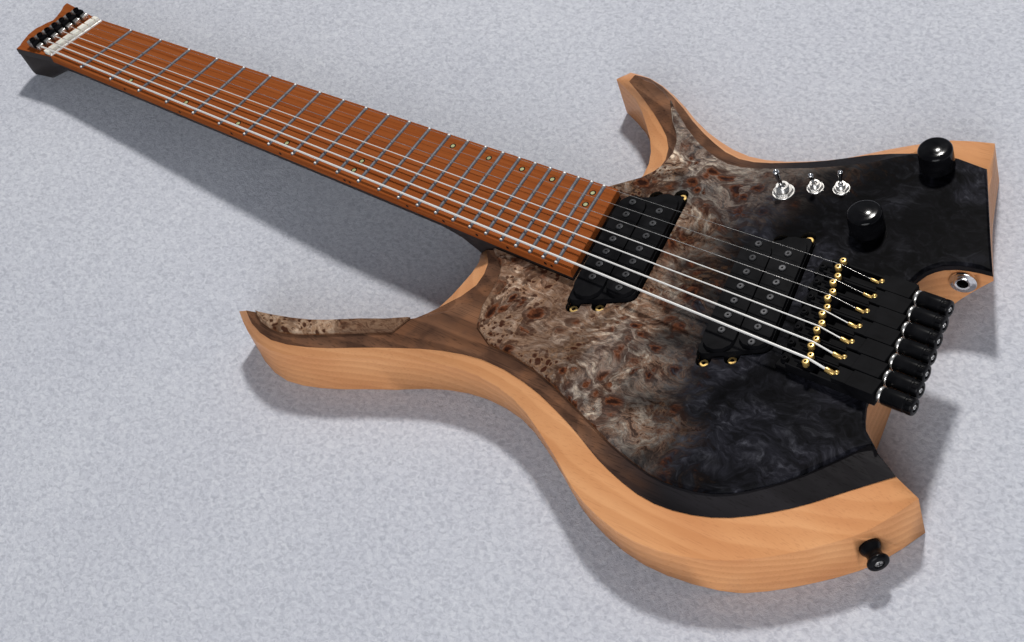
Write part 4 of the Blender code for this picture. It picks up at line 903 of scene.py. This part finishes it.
def lathe(profile, steps):
    """A closed solid from (radius, height) points, spun round Z."""
    bm = bmesh.new()
    verts = [bm.verts.new((radius * MM, 0.0, height * MM)) for radius, height in profile]
    edges = [bm.edges.new(pair) for pair in zip(verts, verts[1:])]
    bmesh.ops.spin(bm, geom=verts + edges, cent=(0, 0, 0), axis=(0, 0, 1), angle=2 * math.pi, steps=steps,
                   use_merge=True)
    bmesh.ops.remove_doubles(bm, verts=bm.verts, dist=1e-7)
    bmesh.ops.recalc_face_normals(bm, faces=bm.faces)
    return bm


def aimed(place, direction=(0, 0, 1)):
    """The matrix that stands a shape on a place with its top toward a direction."""
    turn = Vector(direction).to_track_quat("Z", "Y").to_matrix().to_4x4()
    return Matrix.Translation(place) @ turn


def gathered(parts):
    """One mesh from several (mesh, matrix) pairs."""
    whole = bmesh.new()
    for part, matrix in parts:
        part.transform(matrix)
        held = bpy.data.meshes.new("held")
        part.to_mesh(held)
        part.free()
        whole.from_mesh(held)
        bpy.data.meshes.remove(held)
    return whole


def set_of(parts, name, material, body="guitar", smooth=40.0, stands_for=()):
    return piece(gathered(parts), name, material, body, smooth, stands_for)


print("shape helpers ready")

# %% [markdown]
# ## The frets
# Each fret is a rod laid in the board with half of it sunk, as its tang would hold it.
# What stands out of the wood is twice as wide as it is tall. A bright bead at each end is a painted
# highlight.
# The first of them is the zero fret, just in front of the nut, and that one is painted bright all along, as a
# highlight.

# %% Frets
FRET_WIDTH = 2.4
FRET_HEIGHT = 1.2
FRET_INSET = 0.7 * MM      # from the board's edge


def fret_ends(number):
    bass_x, bass_y = fan(-1.0, scale_share(number))
    treble_x, treble_y = fan(1.0, scale_share(number))
    slope = (treble_x - bass_x) / (treble_y - bass_y)
    half = board_half((bass_x + treble_x) / 2) - FRET_INSET
    return [Vector((bass_x + slope * (y - bass_y), y, BOARD_TOP)) for y in (-half, half)]


def make_fret(number):
    start, end = fret_ends(number)
    wire = rod(FRET_WIDTH / 2, (end - start).length / MM, 20, 0.85, 3)
    lay = Matrix.Translation(start) @ Matrix.Diagonal((1, 1, FRET_HEIGHT / (FRET_WIDTH / 2), 1))
    turn = (end - start).to_track_quat("Z", "Y").to_matrix().to_4x4()
    # Each end gets a bead of painted highlight, where the rounded end catches the light.
    highlight_beads = []
    for place, direction in ((start, end - start), (end, start - end)):
        lift = direction.normalized() * 0.35 * MM + mm(0, 0, 0.32)
        highlight_beads.append((rod(1.05, 1.3, 16, 0.4), aimed(place + lift, direction)))
    set_of(highlight_beads, f"fret_{number:02d}_ends", FRET_HIGHLIGHT_METAL)
    finish = FRET_METAL if number else FRET_HIGHLIGHT_METAL
    return set_of([(wire, lay @ turn)], f"fret_{number:02d}", finish)


frets = [make_fret(number) for number in range(25)]
print("frets:", len(frets))

# %% [markdown]
# ## Position dots
# A player finds the frets by small inlaid dots: a black ring round a pale centre, level with the wood. On a
# fanned board they sit between two strings, near the bass edge up to the twelfth fret and the treble edge
# above it. The board's bass side carries plain dots that face the player.

# %% Dots
NEAR_BASS = -5 / 6
NEAR_TREBLE = 5 / 6
FACE_DOTS = {fret: [NEAR_BASS] for fret in (3, 5, 7, 9)}
FACE_DOTS[12] = [NEAR_BASS, -1 / 2]
FACE_DOTS.update({fret: [NEAR_TREBLE] for fret in (15, 17, 19, 21)})
FACE_DOTS[24] = [NEAR_TREBLE, 1 / 2]
PAIR_GAP = 5.0             # between the two side dots of an octave


def make_dots():
    rings = []
    centres = []
    sides = []
    for number, places in FACE_DOTS.items():
        share = (scale_share(number - 1) + scale_share(number)) / 2
        for side in places:
            lay = aimed((*fan(side, share), BOARD_CUT - 0.4 * MM))
            rings.append((rod(2.1, 0.46, 24, 0.04, 1), lay))
            centres.append((rod(1.35, 0.50, 24, 0.04, 1), lay))
        x = fan(-1.0, share)[0]
        for count in range(len(places)):
            nudge = (count - (len(places) - 1) / 2) * PAIR_GAP * MM
            at = (x + nudge, -board_half(x) + 0.5 * MM, BOARD_TOP - 2.4 * MM)
            sides.append((rod(1.1, 0.56, 20, 0.04, 1), aimed(at, (0, -1, 0))))
    set_of(rings, "dot_rings", BLACK_PLASTIC)
    set_of(centres, "dot_centres", DOT_SHELL)
    set_of(sides, "side_dots", BLACK_PLASTIC)


make_dots()
print("frets with dots:", len(FACE_DOTS))

# %% [markdown]
# ## Neck, nut and string locks
# The neck is lacquered black with its head cut square, and the nut is a plain bar of bone with a groove for
# each string. A headless guitar clamps its strings behind the nut: each lock is a grey body, a black clamp,
# a screw and a bright jaw.

# %% Neck, nut and locks
LOCK_HEIGHT = 5.2          # over the fretboard
LOCK_TOP = BOARD_TOP + LOCK_HEIGHT * MM


def make_eased(node, name, material, width, angle):
    """A copy of a measured piece with every edge sharper than an angle eased."""
    bm = cad_copy(node)
    eased(bm, sharp(bm, angle), width, 2)
    return piece(bm, name, material, stands_for=[node])


def make_lock(number):
    name = f"lock_{number}"
    low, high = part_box(f"string_lock_{number}")
    body = block((low.x, low.y + 0.1 * MM, low.z), (low.x + 7.6 * MM, high.y - 0.1 * MM, LOCK_TOP), 0.5)
    foot_end = (high.x - 1 * MM, high.y - 0.3 * MM, low.z + 1.2 * MM)
    foot = block(low + mm(1, 0.3, 0), foot_end, 0.2)
    set_of([(body, Matrix()), (foot, Matrix())], name + "_body", GREY_METAL,
           stands_for=[f"string_lock_{number}"])
    clamp = block(low + mm(6.6, 0, 0.6), (low.x + 10.8 * MM, high.y, LOCK_TOP + 0.5 * MM), 0.4)
    screw = hex_screw(2.2, 3.4, 1.2, 1.4, 24, 0.35)
    screw_at = (high.x - 9.3 * MM, (low.y + high.y) / 2, LOCK_TOP - 1.0 * MM)
    set_of([(clamp, Matrix()), (screw, aimed(screw_at))], name + "_clamp", BLACK_METAL)
    jaw_end = (high.x, high.y - 0.25 * MM, LOCK_TOP - 1.1 * MM)
    jaw = block((high.x - 4.0 * MM, low.y + 0.25 * MM, low.z), jaw_end, 0.6, 3)
    set_of([(jaw, Matrix())], name + "_jaw", STEEL)


make_eased("neck", "neck_wood", LACQUER, 0.5, 50.0)
make_eased("nut", "nut_bar", BONE, 0.18, 40.0)
for number in STRINGS:
    make_lock(number)
print("neck, nut and", len(STRINGS), "locks")

# %% [markdown]
# ## The strings
# The four thick strings are wound: a core wire wrapped in a fine one, which makes them bright with a close
# ribbing. The three thin ones are plain wire. Each turns down over its saddle to a brass ball in its seat.
# A string here is a chain of rings bridged into a tube, and the ribbing is a bump in the material.
# Its grooves are also darkened in the colour, as painted shade.

# %% Strings
GAUGES = {7: 1.42, 6: 1.07, 5: 0.81, 4: 0.61, 3: 0.41, 2: 0.28, 1: 0.23}
THINNEST_WOUND = 4
OVER_METAL = 0.3           # how far a string's underside is drawn above a fret's crown or a saddle's groove
SADDLE_GROOVE = 1.1
SADDLE_BEHIND = 7.5, 4.0   # from the scale's end back to the saddle, at the bass and at the treble string
UNIT_BEHIND = 49.0         # from the scale's end back to the end of the bridge unit
BALL_AHEAD = 24.5, 19.5    # from that end forward to the ball
BALL_HEIGHT = 6.0          # over the body
CORNER = 1.2               # how much of a string each bend takes up, to either side


def make_wound():
    wound, shader, where = surface("wound_string", roughness=0.42, metallic=0.30)
    wrap = add("TexWave", {"Vector": where, "Scale": 900.0}, bands_direction="X").outputs["Fac"]
    # The darker bands are painted shade in the grooves between the turns.
    bright = colours(wrap, (0.15, (0.74, 0.73, 0.70)), (0.7, (0.95, 0.94, 0.91)))
    feed(shader.inputs["Base Color"], bright)
    bumped(shader, wrap, 0.00002, 0.15)
    return wound


def tube(points, radius, sides=12):
    bm = bmesh.new()
    rings = []
    for number, point in enumerate(points):
        before = points[max(number - 1, 0)]
        after = points[min(number + 1, len(points) - 1)]
        lay = aimed(point, after - before)
        made = bmesh.ops.create_circle(bm, segments=sides, radius=radius * MM, matrix=lay)["verts"]
        rings.append(list({edge for vert in made for edge in vert.link_edges}))
    for lower, upper in zip(rings, rings[1:]):
        bmesh.ops.bridge_loops(bm, edges=lower + upper)
    bmesh.ops.holes_fill(bm, edges=[edge for edge in bm.edges if edge.is_boundary], sides=sides)
    bmesh.ops.recalc_face_normals(bm, faces=bm.faces)
    return bm


def side_of(number):
    """Where a string lies across the fan: 1 for the first string and -1 for the seventh."""
    return 1.0 - (number - 1) / 3.0


def route(number):
    """Where the string starts in its lock, crosses the zero fret and the saddle, and ends at its ball."""
    half = (side_of(number) + 1) / 2
    radius = GAUGES[number] / 2
    lock_low, lock_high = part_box(f"string_lock_{number}")
    lock_z = BOARD_TOP + LOCK_HEIGHT * MM * 0.42
    nut_x, nut_y = fan(side_of(number), 0.0)
    scale_x, y = fan(side_of(number), 1.0)
    ball_x = scale_x + (UNIT_BEHIND - mix(*BALL_AHEAD, half)) * MM
    saddle_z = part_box(f"saddle_{number}")[1].z + (OVER_METAL - SADDLE_GROOVE + radius) * MM
    return [
        Vector((lock_high.x - 7.5 * MM, (lock_low.y + lock_high.y) / 2, lock_z)),
        Vector((lock_high.x, nut_y, lock_z)),
        Vector((nut_x, nut_y, BOARD_TOP + (FRET_HEIGHT + OVER_METAL + radius) * MM)),
        Vector((scale_x + mix(*SADDLE_BEHIND, half) * MM, y, saddle_z)),
        Vector((ball_x, y, BODY_TOP + BALL_HEIGHT * MM)),
    ]


def softened(points):
    """The same line with each corner taken in four short steps."""
    line = [points[0]]
    for before, here, after in zip(points, points[1:], points[2:]):
        back = (before - here).normalized() * CORNER * MM
        ahead = (after - here).normalized() * CORNER * MM
        for share in (0.0, 0.25, 0.5, 0.75, 1.0):
            line.append(here + back * (1 - share) ** 2 + ahead * share**2)
    line.append(points[-1])
    return line


def make_string(number):
    points = route(number)
    radius = GAUGES[number] / 2
    finish = WOUND if number >= THINNEST_WOUND else STEEL
    set_of([(tube(softened(points), radius), Matrix())], f"string_{number}_wire", finish, smooth=60.0,
           stands_for=[f"string_{number}"])
    ball = points[-1]
    along = (points[-1] - points[-2]).normalized()
    barrel = rod(2.0, 3.6, 24, 0.35)
    sleeve = rod(radius + 0.75, 6.0, 16, 0.4)
    knuckle = bmesh.new()
    bmesh.ops.create_uvsphere(knuckle, u_segments=20, v_segments=12, radius=1.7 * MM)
    shoe = block(mm(-0.6, -1.9, -0.5), mm(3.4, 1.9, 0.6), 0.5)
    roof = ball + mm(0, 0, 2.2)
    set_of([
        (barrel, aimed(ball - mm(0, 1.8, 0), (0, 1, 0))), (sleeve, aimed(ball - along * 7.4 * MM, along)),
        (knuckle, Matrix.Translation(roof)), (shoe, Matrix.Translation(roof - mm(0, 0, 0.1))),
    ], f"string_{number}_ball", GOLD)


WOUND = make_wound()
for number in STRINGS:
    make_string(number)
print("strings:", len(GAUGES))

# %% [markdown]
# ## The bridge
# Each string has a bridge of its own: a black channel, a saddle that screws up and down, and a tuner at the
# tail end. The saddles' height screws are gilt, two to a saddle, and a small black screw holds each base to
# the body. The channels and saddles are copies of the measured ones with eased edges. The screws are new
# and cover plain ones.

# %% Bridge units
UNIT_FLOOR = BODY_TOP + 2.3 * MM


def make_unit(number):
    y = fan(side_of(number), 1.0)[1]
    make_eased(f"bridge_base_{number}", f"unit_{number}_base", BLACK_METAL, 0.22, 40.0)
    make_eased(f"saddle_{number}", f"unit_{number}_saddle", BLACK_METAL, 0.16, 40.0)
    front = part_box(f"bridge_base_{number}")[0].x
    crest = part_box(f"saddle_{number}")[1].z
    saddle_x = route(number)[3].x
    screws = []
    for sign in (-1, 1):
        at = (saddle_x - 0.05 * MM, y + sign * 2.55 * MM, crest - 3.2 * MM)
        screws.append((hex_screw(1.9, 3.7, 0.95, 0.9, 20, 0.45), aimed(at)))
    set_of(screws, f"unit_{number}_height_screws", GOLD)
    hold = hex_screw(1.9, 1.5, 1.0, 0.8, 20, 0.3)
    hold_at = (front + 3.2 * MM, y, UNIT_FLOOR + 0.6 * MM)
    reach_at = (saddle_x - 9.4 * MM, y, UNIT_FLOOR + 3.2 * MM)
    set_of([(hold, aimed(hold_at)), (rod(0.9, 5.0, 16, 0.2), aimed(reach_at, (1, 0, 0)))],
           f"unit_{number}_screws", BLACK_METAL)


for number in STRINGS:
    make_unit(number)
print("bridge units:", len(STRINGS))

# %% [markdown]
# ## The tuners
# A tuner is a knob on a screw: turning it draws the string's ball along its channel. Each knob turns on its
# own. The knob is turned on a lathe, its rim notched for the fingers, with a bright collar in front and a
# small screw behind.

# %% Tuners
def make_tuner(number):
    body = f"tuner_{number}"
    low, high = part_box(f"tuner_knob_{number}")
    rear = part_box(f"bridge_base_{number}")[1].x
    middle = (low + high) / 2
    r = (high.y - low.y) / 2 / MM
    length = (high.x - rear) / MM
    knob = lathe([
        (0.0, length - 0.6), (0.50 * r, length - 0.6), (0.55 * r, length), (0.84 * r, length),
        (0.94 * r, length - 0.3), (r, length - 1.0), (r, length - 3.5), (0.93 * r, length - 3.9),
        (0.93 * r, length - 4.7), (r, length - 5.1), (r, 4.0), (0.95 * r, 3.4), (0.6 * r, 3.3), (0.0, 3.3),
    ], 36)
    knob.normal_update()
    rim = []
    for face in knob.faces:
        at = face.calc_center_median()
        if abs(face.normal.z) < 0.1 and length - 3.4 < at.z / MM < length - 1.1:
            rim.append((math.atan2(at.y, at.x), face))
    rim.sort(key=lambda pair: pair[0])
    notches = [pair[1] for pair in rim[::3]]
    bmesh.ops.inset_individual(knob, faces=notches, thickness=0.10 * MM, depth=-0.45 * MM)
    lay = aimed((rear, middle.y, middle.z), (1, 0, 0))
    set_of([(knob, lay)], f"tuner_{number}_knob", SATIN_BLACK, body, 35.0,
           stands_for=[f"tuner_knob_{number}"])
    collar = lathe([
        (0.0, 3.4), (0.66 * r, 3.4), (0.84 * r, 3.0), (0.92 * r, 2.3), (0.92 * r, 1.5), (0.80 * r, 0.7),
        (0.62 * r, 0.3), (1.5, 0.3), (1.5, -15.9), (0.0, -15.9),
    ], 32)
    tip = hex_screw(1.35, 0.9, 0.8, 0.7, 24, 0.2)
    tip_lay = aimed((rear + (length - 1.0) * MM, middle.y, middle.z), (1, 0, 0))
    set_of([(collar, lay), (tip, tip_lay)], f"tuner_{number}_collar", STEEL, body)


for number in STRINGS:
    make_tuner(number)
print("tuners:", len(STRINGS))

# %% [markdown]
# ## The pickups
# Two coils of fine wire sit in a black tray, each under a row of seven steel pole screws. Gilt screws at
# the ends hang the pickup in its rout, with a spring round each so that it can be set closer or further.
# The tray and coils come from the measured piece, which also says where every pole and mounting screw
# stands.

# %% Pickups
COIL_TOP = BODY_TOP + 5.0 * MM
TRAY_TOP = COIL_TOP - 2.4 * MM
EAR_TOP = BODY_TOP - 4.0 * MM
SPRING_FOOT = BODY_TOP - 19.0 * MM


def flat_tops(node, height):
    """The middles of a measured piece's faces that lie flat at one height, such as the tops of its screws."""
    bm = cad_copy(node)
    found = []
    for face in bm.faces:
        if face.normal.z > 0.9 and all(abs(vert.co.z - height) < 0.02 * MM for vert in face.verts):
            found.append(face.calc_center_median().copy())
    bm.free()
    return found


def spring(place, radius, wire, low, high, turns=5, steps=10):
    line = []
    for count in range(turns * steps + 1):
        angle = 2 * math.pi * count / steps
        out = mm(radius * math.cos(angle), radius * math.sin(angle), 0)
        line.append(Vector((place.x + out.x, place.y + out.y, mix(low, high, count / (turns * steps)))))
    return tube(line, wire, 6)


def make_pickup(node):
    bm = cad_copy(node)
    eased(bm, sharp(bm, 40, COIL_TOP, TRAY_TOP), 0.6, 3)
    piece(bm, node + "_coils", BLACK_PLASTIC, smooth=40.0, stands_for=[node])
    poles = []
    for top in flat_tops(node, COIL_TOP + 0.5 * MM):
        head = hex_screw(2.36, 0.85, 0.8, 0.6, 24, 0.60)
        poles.append((head, aimed((top.x, top.y, COIL_TOP - 0.1 * MM))))
    set_of(poles, node + "_poles", POLE_METAL)
    mounts = []
    springs = []
    for top in flat_tops(node, EAR_TOP + 1.6 * MM):
        head = hex_screw(2.7, 1.8, 1.3, 0.9, 24, 0.5)
        mounts.append((head, aimed((top.x, top.y, EAR_TOP + 0.05 * MM))))
        springs.append((spring(top, 2.3, 0.28, SPRING_FOOT, EAR_TOP - 2.3 * MM), Matrix()))
    set_of(mounts, node + "_screws", GOLD)
    set_of(springs, node + "_springs", GOLD, smooth=60.0)
    return len(poles), len(mounts)


print("poles and mounting screws:", make_pickup("pickup_neck"), make_pickup("pickup_bridge"))

# %% [markdown]
# ## The controls
# Volume and tone are plain black knobs with domed tops, each on the shaft of a pot that a nut holds under
# the top. The three toggles are chromed: a threaded neck, a washer and a nut, and a lever with a round tip
# that clicks over. Each lever is turned upright, then leaned to where it rests, so that it swings about the
# same ball as the measured one.

# %% Knobs and toggles
# Where each toggle stands, its size, and the way its lever leans at rest
SWITCHES = {
    "selector": ((32.0 * MM, 76.0 * MM), 1.3, (-1.0, 0.0)),
    "neck_coil": ((47.5 * MM, 86.0 * MM), 1.0, (0.0, -1.0)),
    "bridge_coil": ((62.0 * MM, 91.0 * MM), 1.0, (0.0, 1.0)),
}
SWITCH_LEAN = 12.0         # degrees
DOME_SHARE = 0.66          # how much of a knob's radius its flat dome takes up
DOME_DROP = 0.9            # how far the dome has sunk at its rim


def arc(middle_radius, middle_height, across, up, start, end, steps):
    """Points of a profile on an arc. Its angles are in degrees from straight up."""
    points = []
    for count in range(steps + 1):
        angle = math.radians(mix(start, end, count / steps))
        points.append((middle_radius + across * math.sin(angle), middle_height + up * math.cos(angle)))
    return points


def make_control_knob(name):
    low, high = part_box(name + "_knob")
    foot = BODY_TOP + 0.6 * MM
    r = (high.x - low.x) / 2 / MM
    tall = (high.z - foot) / MM
    shaft = (low.z - foot) / MM
    dome = [(DOME_SHARE * r * count / 4, tall - DOME_DROP * (count / 4) ** 2) for count in range(5)]
    shoulder = arc(DOME_SHARE * r, tall - DOME_DROP - 0.24 * r, 0.32 * r, 0.24 * r, 0, 90, 7)[1:]
    skirt = [(0.99 * r, 1.4), (r, 0.9), (r, 0.3), (0.97 * r, 0.0), (0.86 * r, 0.0)]
    bore = [(0.8 * r, 8.0), (3.0, 8.0), (3.0, shaft), (0.0, shaft)]
    cap = lathe(dome + shoulder + skirt + bore, 64)
    at = ((low.x + high.x) / 2, (low.y + high.y) / 2, foot)
    set_of([(cap, aimed(at))], name + "_cap", GLOSS_BLACK, name, 30.0, [name + "_knob"])


def threaded(radius, low, high, pitch=0.7):
    """The outline of a threaded neck, drawn as rings."""
    profile = [(0.0, low), (radius, low)]
    z = low
    while z + pitch < high:
        profile += [(radius, z + 0.1 * pitch), (radius * 0.93, z + 0.5 * pitch), (radius, z + 0.9 * pitch)]
        z += pitch
    return profile


def make_toggle(name, at, size, swing):
    """The neck, washer and nut, then the lever as a piece of its own. Size is 1 for the small toggles."""
    low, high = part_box(name + "_switch")
    rim = BODY_TOP / MM + 4.2 * size
    neck = 2.9 * size
    ball = 1.5 * size
    mouth = [(neck * 0.97, rim), (ball + 0.25, rim), (ball + 0.2, rim - 1.8 * size), (0.0, rim - 1.9 * size)]
    barrel = lathe(threaded(neck, low.z / MM + 5, rim) + mouth, 28)
    can = block(low, (high.x, high.y, low.z + 9.0 * MM), 0.4)
    washer = lathe([(neck * 0.95, 0.0), (neck * 1.75, 0.0), (neck * 1.78, 0.25), (neck * 1.72, 0.5),
                    (neck * 0.95, 0.5), (neck * 0.95, 0.0)], 32)
    set_of([
        (barrel, aimed((*at, 0.0))), (can, Matrix()), (washer, aimed((*at, BODY_TOP + 0.05 * MM))),
        (rod(neck * 1.56, 1.7, 6, 0.25), aimed((*at, BODY_TOP + 0.5 * MM))),
    ], name + "_mount", STEEL, smooth=25.0, stands_for=[name + "_switch"])
    length = 10.5 * size
    tip = 1.6 * size
    stem = 1.05 * size
    profile = arc(0.0, length - tip, tip, tip, 0, 90, 8)
    profile += [(tip * 0.98, length - 1.7 * tip), (stem * 1.1, length - 3.2 * tip), (stem * 0.8, ball * 0.9)]
    profile += arc(0.0, 0.0, ball, ball, 50, 180, 6)[:-1] + [(0.0, -ball)]
    axis = Vector((0, 0, 1)).cross(Vector((*swing, 0.0)))
    lean = Matrix.Rotation(math.radians(SWITCH_LEAN), 4, axis)
    pivot = Matrix.Translation((*at, BODY_TOP + 2.6 * MM * size))
    set_of([(lathe(profile, 32), pivot @ lean)], name + "_bat", CHROME, name,
           stands_for=[name + "_lever"])


for name in ("volume", "tone"):
    make_control_knob(name)
for name, (at, size, swing) in SWITCHES.items():
    make_toggle(name, at, size, swing)
print("knobs: 2, toggles:", len(SWITCHES))

# %% [markdown]
# ## Jack, strap buttons and back cover
# The cable plugs into a chromed jack in the wall of the tail cut-out. A strap hooks over the two waisted
# buttons. A plate on the back closes the hollow under the controls, and five small screws hold it.

# %% Jack, buttons and cover
JACK_AT = mm(152.5, 66.6, 28.0)
JACK_WAY_OUT = -70.0       # degrees from the X axis
BUTTON_RADIUS = 6.0
BUTTON_HEIGHT = 13.0
TAIL_FACE = [mm(116.5, 166.8, 0.0), mm(137.0, 66.0, 0.0), mm(170.0, 68.0, 33.0)]    # three of its points
COVER_SCREWS = ((0.06, 0.08), (0.05, 0.42), (0.93, 0.12), (0.56, 0.93), (0.80, 0.93))    # shares of its box


def heading(degrees):
    return Vector((math.cos(math.radians(degrees)), math.sin(math.radians(degrees)), 0.0))


def make_jack():
    lay = aimed(JACK_AT, heading(JACK_WAY_OUT))
    shell = lathe([
        (3.25, -22.0), (3.25, 1.9), (4.3, 2.1), (4.6, 1.8), (5.2, 1.5), (7.0, 1.5), (7.6, 1.1), (7.6, 0.3),
        (4.6, 0.3), (4.6, -24.0), (0.0, -24.0), (0.0, -22.0), (3.25, -22.0),
    ], 40)
    sleeve = lathe([(3.2, -20.0), (3.2, 0.6), (2.9, 0.6), (2.9, -20.0), (3.2, -20.0)], 32)
    blade = block(mm(-0.6, 1.2, -18.0), mm(0.6, 2.6, -3.0), 0.2)
    set_of([(shell, lay)], "jack_shell", CHROME, smooth=35.0, stands_for=["output_jack"])
    set_of([(sleeve, lay)], "jack_sleeve", BLACK_PLASTIC)
    set_of([(blade, lay)], "jack_contact", STEEL)


def make_button(node, at, degrees):
    r = BUTTON_RADIUS
    tall = BUTTON_HEIGHT
    lay = aimed(at, heading(degrees))
    button = lathe([
        (0.0, tall - 1.2), (0.42 * r, tall - 1.0), (0.46 * r, tall), (0.78 * r, tall - 0.1),
        (0.94 * r, tall - 0.7), (r, tall - 1.7), (0.97 * r, tall - 2.5), (0.80 * r, tall - 3.9),
        (0.70 * r, tall - 5.2), (0.68 * r, 0.45 * tall), (0.76 * r, 0.34 * tall), (0.92 * r, 0.22 * tall),
        (0.98 * r, 1.4), (0.95 * r, 0.3), (1.7, 0.3), (1.7, -14.0), (0.0, -16.0),
    ], 40)
    set_of([(button, lay)], node + "_turned", SATIN_BLACK, smooth=40.0, stands_for=[node])
    head = lathe([(0.0, 1.5), (1.0, 1.42), (1.9, 1.1), (2.4, 0.5), (2.4, 0.0), (0.0, 0.0)], 28)
    head_lay = lay @ Matrix.Translation(mm(0, 0, tall - 1.4))
    set_of([(head, head_lay)], node + "_screw", GREY_METAL)
    # The cross is painted shade: two black bars stand where the screw's cross recess would lie in shadow.
    cross_lay = lay @ Matrix.Translation(mm(0, 0, tall - 0.35))
    long_bar = block(mm(-1.5, -0.28, 0.0), mm(1.5, 0.28, 0.5))
    short_bar = block(mm(-0.28, -1.5, 0.0), mm(0.28, 1.5, 0.48))
    set_of([(long_bar, cross_lay), (short_bar, cross_lay)], node + "_cross_painted_shade", ROUT_PAINT_AND_RECESS_SHADE)


def make_cover():
    """The measured cover has a corner that reaches out under the tail's slope. This one stops there."""
    bm = cad_copy("cavity_cover")
    first, second, third = TAIL_FACE
    inward = (second - first).cross(third - first).normalized()
    bmesh.ops.bisect_plane(bm, geom=everything(bm), dist=0.000001, plane_co=second + inward * 0.3 * MM,
                           plane_no=-inward, clear_outer=True)
    bmesh.ops.holes_fill(bm, edges=[edge for edge in bm.edges if edge.is_boundary], sides=0)
    eased(bm, sharp(bm, 50.0), 0.4, 2)
    piece(bm, "back_cover", BLACK_PLASTIC, smooth=50.0, stands_for=["cavity_cover"])
    low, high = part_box("cavity_cover")
    heads = []
    for along, across in COVER_SCREWS:
        at = (mix(low.x, high.x, along), mix(low.y, high.y, across), low.z + 1.4 * MM)
        heads.append((hex_screw(2.6, 1.5, 1.0, 0.7, 20, 0.4), aimed(at, (0, 0, -1))))
    set_of(heads, "cover_screws", BLACK_METAL)


make_jack()
make_button("strap_button_tail", mm(192.0, -98.5, 16.0), -35.0)
make_button("strap_button_horn", mm(-190.0, -131.6, 16.0), 106.5)
make_cover()
print("jack, two strap buttons and the cover")
